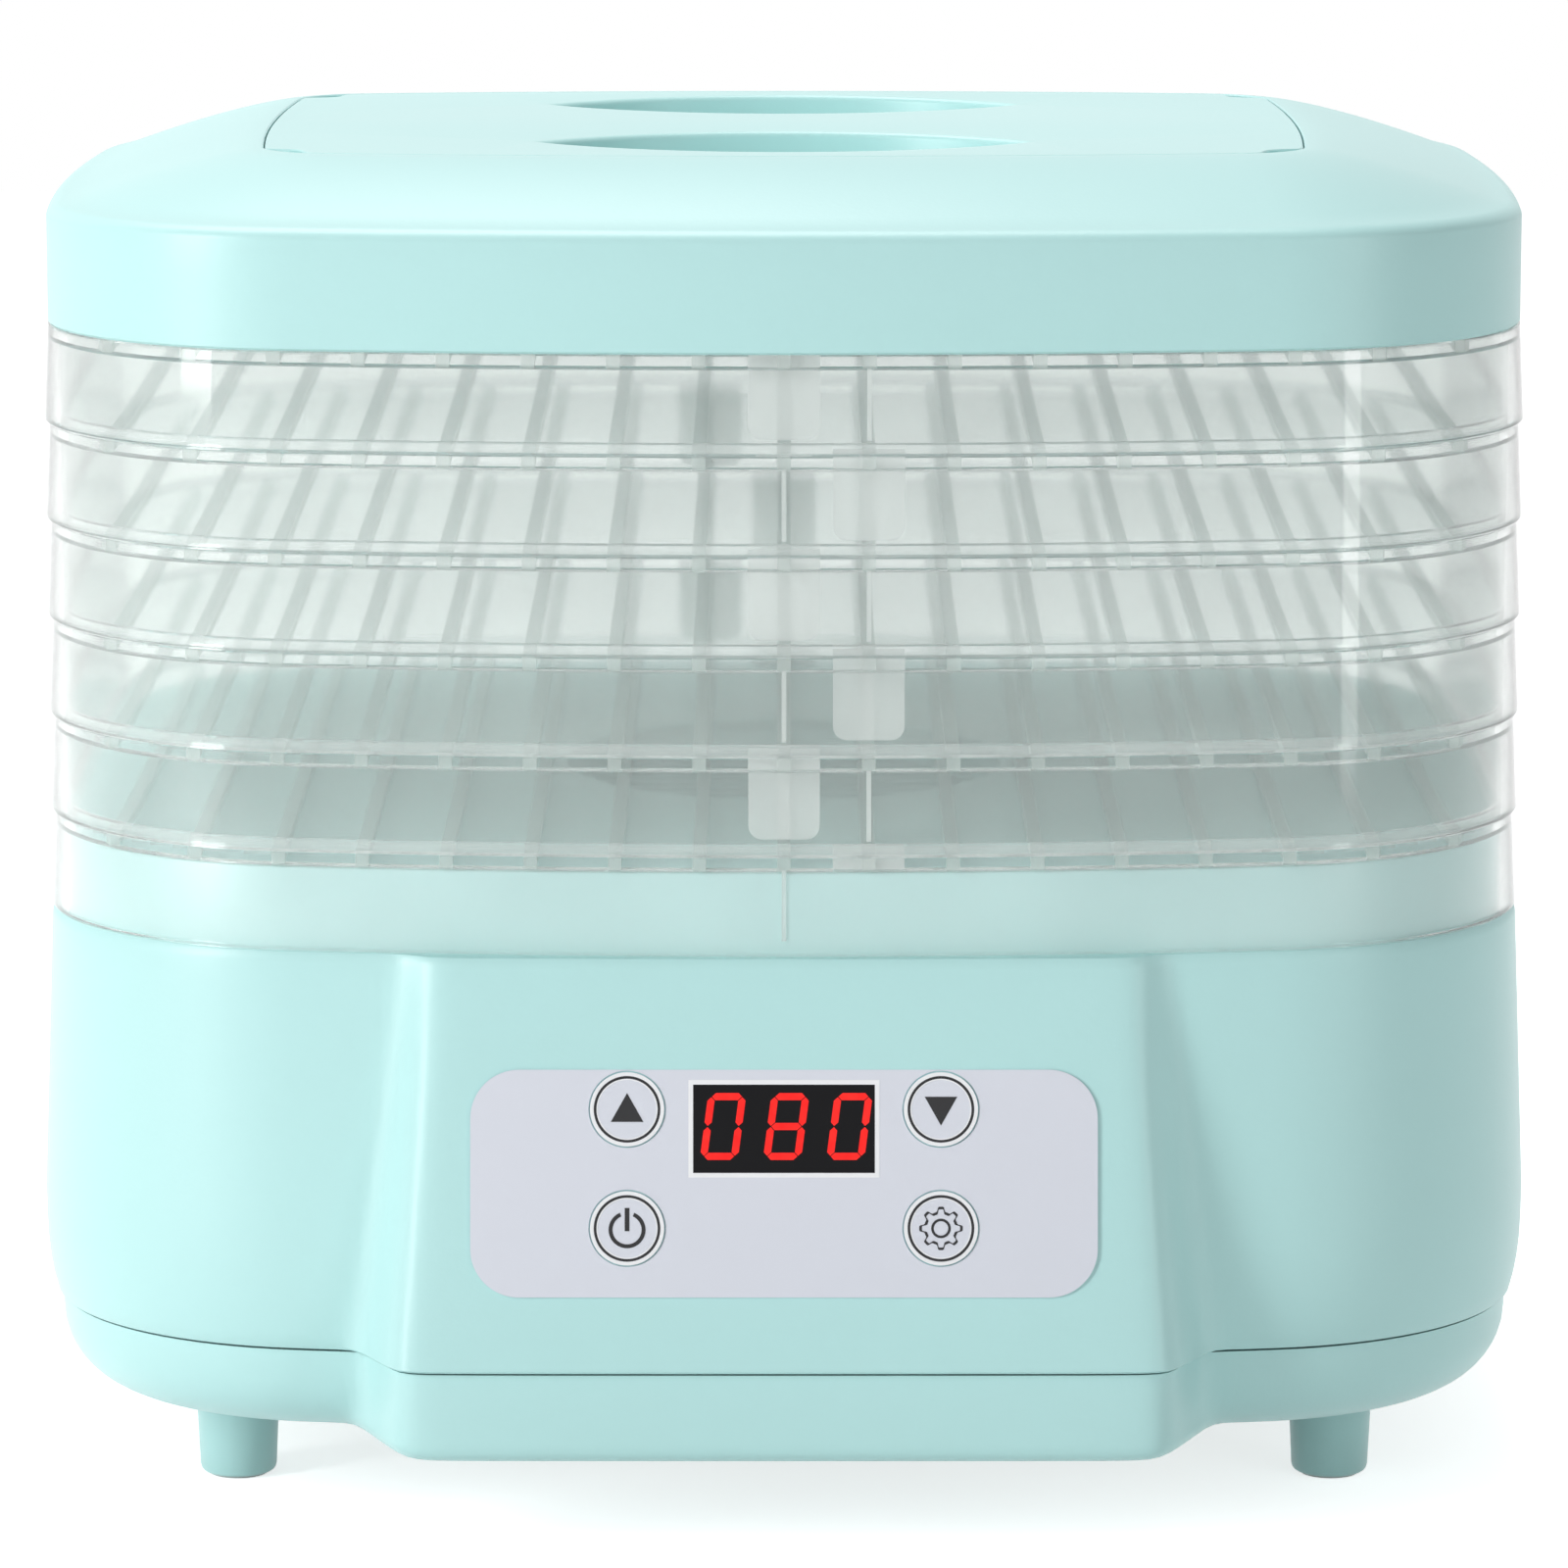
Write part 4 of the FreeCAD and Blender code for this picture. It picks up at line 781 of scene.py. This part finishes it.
bm = bmesh.new()
heights = [0, 0.15, 0.4, 0.8, 1.3, 2, 3, 4, 5.5, 7, 9, 11, 13.5, 17, 19.9]
rows = [lower_level(FLOOR_Z + h * MM) for h in heights]
rows.append([(x * 0.985, y * 0.98, z) for x, y, z in rows[-1]])
floor_edges, rim_edges = skin(bm, rows)
cap(bm, floor_edges)
cap(bm, rim_edges)
for sx, sy in ((-1, -1), (-1, 1), (1, -1), (1, 1)):
    rings = [(FOOT_TOP_R, FLOOR_Z + 3 * MM), (FOOT_TOP_R, FLOOR_Z - 1 * MM), (FOOT_TIP_R + 0.08 * MM, PAD_PROUD + 1.6 * MM)]
    for step in range(5):
        angle = math.radians(22.5 * step)
        rings.append((FOOT_TIP_R - 1.5 * MM * (1 - math.cos(angle)), PAD_PROUD + 1.5 * MM * (1 - math.sin(angle))))
    rings.append((6.8 * MM, PAD_PROUD))
    turns = [2 * math.pi * i / FOOT_STEPS for i in range(FOOT_STEPS)]
    rows = [[(sx * FOOT_X + radius * math.cos(a), sy * FOOT_Y + radius * math.sin(a), z) for a in turns] for radius, z in rings]
    for end in skin(bm, rows):
        cap(bm, end)
base_lower = piece(bm, "base_lower", mint, "base", "mint_plastic", "lower_housing")

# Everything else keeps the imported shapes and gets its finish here.
film = satin("overlay_film", (0.72, 0.745, 0.82), 0.38, grain=1500, bump=0.03)
black = satin("display_black", (0.003, 0.003, 0.004), 0.5, grain=300, bump=0.0)
black.node_tree.nodes["Principled BSDF"].inputs["Specular IOR Level"].default_value = 0.15
dark = satin("dark_plastic", (0.02, 0.021, 0.023), 0.5)
steel = satin("screw_steel", (0.6, 0.61, 0.62), 0.32, grain=500, metallic=1.0)
iron = satin("motor_iron", (0.22, 0.225, 0.23), 0.45, grain=400, metallic=0.9)
copper = satin("copper_winding", (0.72, 0.26, 0.09), 0.35, grain=700, metallic=1.0)
bronze = satin("bush_bronze", (0.55, 0.36, 0.15), 0.4, metallic=1.0)
mica = satin("mica_board", (0.44, 0.36, 0.24), 0.55, grain=250)
wire = satin("heater_wire", (0.25, 0.22, 0.2), 0.4, metallic=1.0)
green = satin("circuit_board", (0.01, 0.12, 0.05), 0.35)
pale_rubber = satin("pale_rubber", (0.55, 0.6, 0.59), 0.7, grain=1200)
finishes = {
    "outlet_grille": mint, "foot_pads": pale_rubber, "cord_gland": pale_rubber,
    "lid_screws": steel, "housing_screws": steel, "duct_screws": steel, "motor_screws": steel, "board_screws": steel,
    "fan_duct": dark, "thermal_cutout": dark, "fan_impeller": dark, "tact_switches": dark,
    "heater_frame": mica, "heater_rings": wire, "motor_shaft": steel, "motor_rotor": iron, "motor_stator": iron,
    "motor_lower_plate": iron, "motor_upper_plate": iron, "motor_coil": copper, "motor_bushes": bronze,
    "control_overlay": film, "display_lens": black, "display_module": black, "control_board": green,
    "key_up": film, "key_down": film, "key_power": film, "key_set": film,
}
for name, material in finishes.items():
    mesh = nodes[name].data
    mesh.materials.clear()
    mesh.materials.append(material)

# Printing on the control face: white and black rings and signs on the keys, a white frame
# round the display and red seven-segment figures behind its window.
PANEL_TILT = math.radians(80)
panel_low, panel_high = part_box("control_overlay")
OVERLAY_WALL = 0.4 * MM
PANEL = Matrix.Translation((panel_low + panel_high) / 2) @ Matrix.Rotation(PANEL_TILT, 4, "X")
KEY_ACROSS = 33.75 * MM
KEY_UP = 16.0 * MM
KEY_DOWN = -9.6 * MM
KEY_TOP = 0.5 * MM
PRINT = 0.06 * MM
DISPLAY_UP = 11.8 * MM
DISPLAY_W = 39.3 * MM
DISPLAY_H = 19.2 * MM
ink_black = satin("ink_black", (0.006, 0.006, 0.008), 0.4, bump=0.0)
ink_white = satin("ink_white", (0.9, 0.91, 0.93), 0.4, bump=0.0)
glow, tree, glow_shader = shader("red_segments")
glow_shader.inputs["Base Color"].default_value = (0.3, 0.01, 0.01, 1)
glow_shader.inputs["Specular IOR Level"].default_value = 0.1
glow_shader.inputs["Emission Strength"].default_value = 1.0
glow_place = tree.nodes.new("ShaderNodeTexCoord")
glow_spots = tree.nodes.new("ShaderNodeTexNoise")
glow_spots.inputs["Scale"].default_value = 420
glow_shade = tree.nodes.new("ShaderNodeValToRGB")
glow_shade.color_ramp.elements[0].color = (0.62, 0.006, 0.008, 1)
glow_shade.color_ramp.elements[1].color = (1.0, 0.035, 0.025, 1)
tree.links.new(glow_place.outputs["Object"], glow_spots.inputs["Vector"])
tree.links.new(glow_spots.outputs["Fac"], glow_shade.inputs["Fac"])
tree.links.new(glow_shade.outputs["Color"], glow_shader.inputs["Emission Color"])


def slab(bm, outer, holes, base, height):
    """Flat print of the given outline and holes, drawn in the panel's plane."""
    edges = []
    for points in [outer] + holes:
        verts = [bm.verts.new((x, y, base)) for x, y in points]
        edges += [bm.edges.new((verts[i - 1], verts[i])) for i in range(len(verts))]
    faces = bmesh.ops.triangle_fill(bm, use_beauty=True, use_dissolve=False, edges=edges)["geom"]
    faces = [f for f in faces if isinstance(f, bmesh.types.BMFace)]
    grown = bmesh.ops.extrude_face_region(bm, geom=faces)["geom"]
    bmesh.ops.translate(bm, vec=(0, 0, height), verts=[g for g in grown if isinstance(g, bmesh.types.BMVert)])


def circle(x, y, radius, steps=72):
    return [(x + radius * math.cos(2 * math.pi * i / steps), y + radius * math.sin(2 * math.pi * i / steps))
            for i in range(steps)]


def printed(bm, name, material, body, slot):
    bmesh.ops.transform(bm, matrix=PANEL, verts=bm.verts)
    return piece(bm, name, material, body, slot)


def triangle(x, y, sign):
    wide = 3.5 * MM
    return [(x - wide, y - sign * 2.7 * MM), (x + wide, y - sign * 2.7 * MM), (x, y + sign * 3.5 * MM)]


def arc_band(x, y, radius, width, start, end, steps=48):
    """Band of an arc, from start to end in degrees."""
    angles = [math.radians(start + (end - start) * i / steps) for i in range(steps + 1)]
    outer = [(x + (radius + width / 2) * math.cos(a), y + (radius + width / 2) * math.sin(a)) for a in angles]
    inner = [(x + (radius - width / 2) * math.cos(a), y + (radius - width / 2) * math.sin(a)) for a in reversed(angles)]
    return outer + inner


def bar(x0, x1, y0, y1):
    return [(x0, y0), (x1, y0), (x1, y1), (x0, y1)]


def gear(x, y, grow):
    """Eight-toothed wheel outline."""
    points = []
    teeth = 8
    shape = ((-0.5, 3.35), (-0.36, 3.35), (-0.28, 3.5), (-0.17, 4.3), (-0.1, 4.4),
             (0.1, 4.4), (0.17, 4.3), (0.28, 3.5), (0.36, 3.35))
    for tooth in range(teeth):
        for share, radius in shape:
            angle = 2 * math.pi * (tooth + share) / teeth
            points.append((x + (radius * MM + grow) * math.sin(angle), y + (radius * MM + grow) * math.cos(angle)))
    return points


def outline_band(bm, outer, inner, base, height):
    """Flat printed line between two outlines with as many points."""
    rows = [[(px, py - STACK_Y, z) for px, py in points]
            for z, points in ((base, inner), (base, outer), (base + height, outer), (base + height, inner))]
    skin(bm, rows, closed=True)


key_spots = {
    "key_up": (-KEY_ACROSS, KEY_UP), "key_down": (KEY_ACROSS, KEY_UP),
    "key_power": (-KEY_ACROSS, KEY_DOWN), "key_set": (KEY_ACROSS, KEY_DOWN),
}
for name, (x, y) in key_spots.items():
    body = name + "_body"
    bm = bmesh.new()
    slab(bm, circle(x, y, 7.95 * MM), [circle(x, y, 7.2 * MM)], KEY_TOP, PRINT)
    slab(bm, circle(x, y, 6.55 * MM), [circle(x, y, 6.3 * MM)], KEY_TOP, PRINT)
    printed(bm, name + "_white_ring", ink_white, body, "key_plastic")
    bm = bmesh.new()
    slab(bm, circle(x, y, 7.15 * MM), [circle(x, y, 6.6 * MM)], KEY_TOP, PRINT)
    if name == "key_up":
        slab(bm, triangle(x, y, 1), [], KEY_TOP, PRINT)
    elif name == "key_down":
        slab(bm, triangle(x, y, -1), [], KEY_TOP, PRINT)
    elif name == "key_power":
        slab(bm, arc_band(x, y - 0.3 * MM, 3.55 * MM, 0.85 * MM, 113, 427), [], KEY_TOP, PRINT)
        slab(bm, bar(x - 0.5 * MM, x + 0.5 * MM, y - 0.6 * MM, y + 4.4 * MM), [], KEY_TOP, PRINT)
    else:
        outline_band(bm, gear(x, y, 0.28 * MM), gear(x, y, -0.28 * MM), KEY_TOP, PRINT)
        outline_band(bm, circle(x, y, 2.1 * MM), circle(x, y, 1.55 * MM), KEY_TOP, PRINT)
    printed(bm, name + "_sign", ink_black, body, "key_plastic")

bm = bmesh.new()
FRAME_EDGE = 0.9 * MM
half_w = DISPLAY_W / 2
half_h = DISPLAY_H / 2
outer = bar(-half_w - FRAME_EDGE, half_w + FRAME_EDGE, DISPLAY_UP - half_h - FRAME_EDGE, DISPLAY_UP + half_h + FRAME_EDGE)
hole = bar(-half_w + 0.1 * MM, half_w - 0.1 * MM, DISPLAY_UP - half_h + 0.1 * MM, DISPLAY_UP + half_h - 0.1 * MM)
slab(bm, outer, [hole], OVERLAY_WALL / 2, PRINT)
printed(bm, "display_frame", ink_white, "base", "overlay_film")

DIGIT_H = 14.4 * MM
DIGIT_W = 8.2 * MM
DIGIT_STROKE = 1.55 * MM
DIGIT_PITCH = 13.6 * MM
DIGIT_MIDDLE = 0.5 * MM
DIGIT_SLANT = 0.13
SEGMENT_GAP = 0.12 * MM


def segment(cx, cy, length, upright):
    """Six-cornered bar of a figure."""
    half = length / 2 - SEGMENT_GAP
    s = DIGIT_STROKE / 2
    points = [(-half, 0), (-half + s, -s), (half - s, -s), (half, 0), (half - s, s), (-half + s, s)]
    if upright:
        points = [(-py, px) for px, py in points]
    return [(cx + DIGIT_MIDDLE + px + (cy + py) * DIGIT_SLANT, DISPLAY_UP + DIGIT_MIDDLE + cy + py) for px, py in points]


bm = bmesh.new()
inner_w = DIGIT_W - DIGIT_STROKE
inner_h = DIGIT_H - DIGIT_STROKE
for place, figure in enumerate("080"):
    cx = (place - 1) * DIGIT_PITCH
    bars = [(cx, inner_h / 2, inner_w, False), (cx, -inner_h / 2, inner_w, False)]
    bars += [(cx + sx * inner_w / 2, sy * inner_h / 4, inner_h / 2, True) for sx in (-1, 1) for sy in (-1, 1)]
    if figure == "8":
        bars.append((cx, 0, inner_w, False))
    for seg in bars:
        slab(bm, segment(*seg), [], OVERLAY_WALL / 2, PRINT / 2)
printed(bm, "display_figures", glow, "base", "display_black")
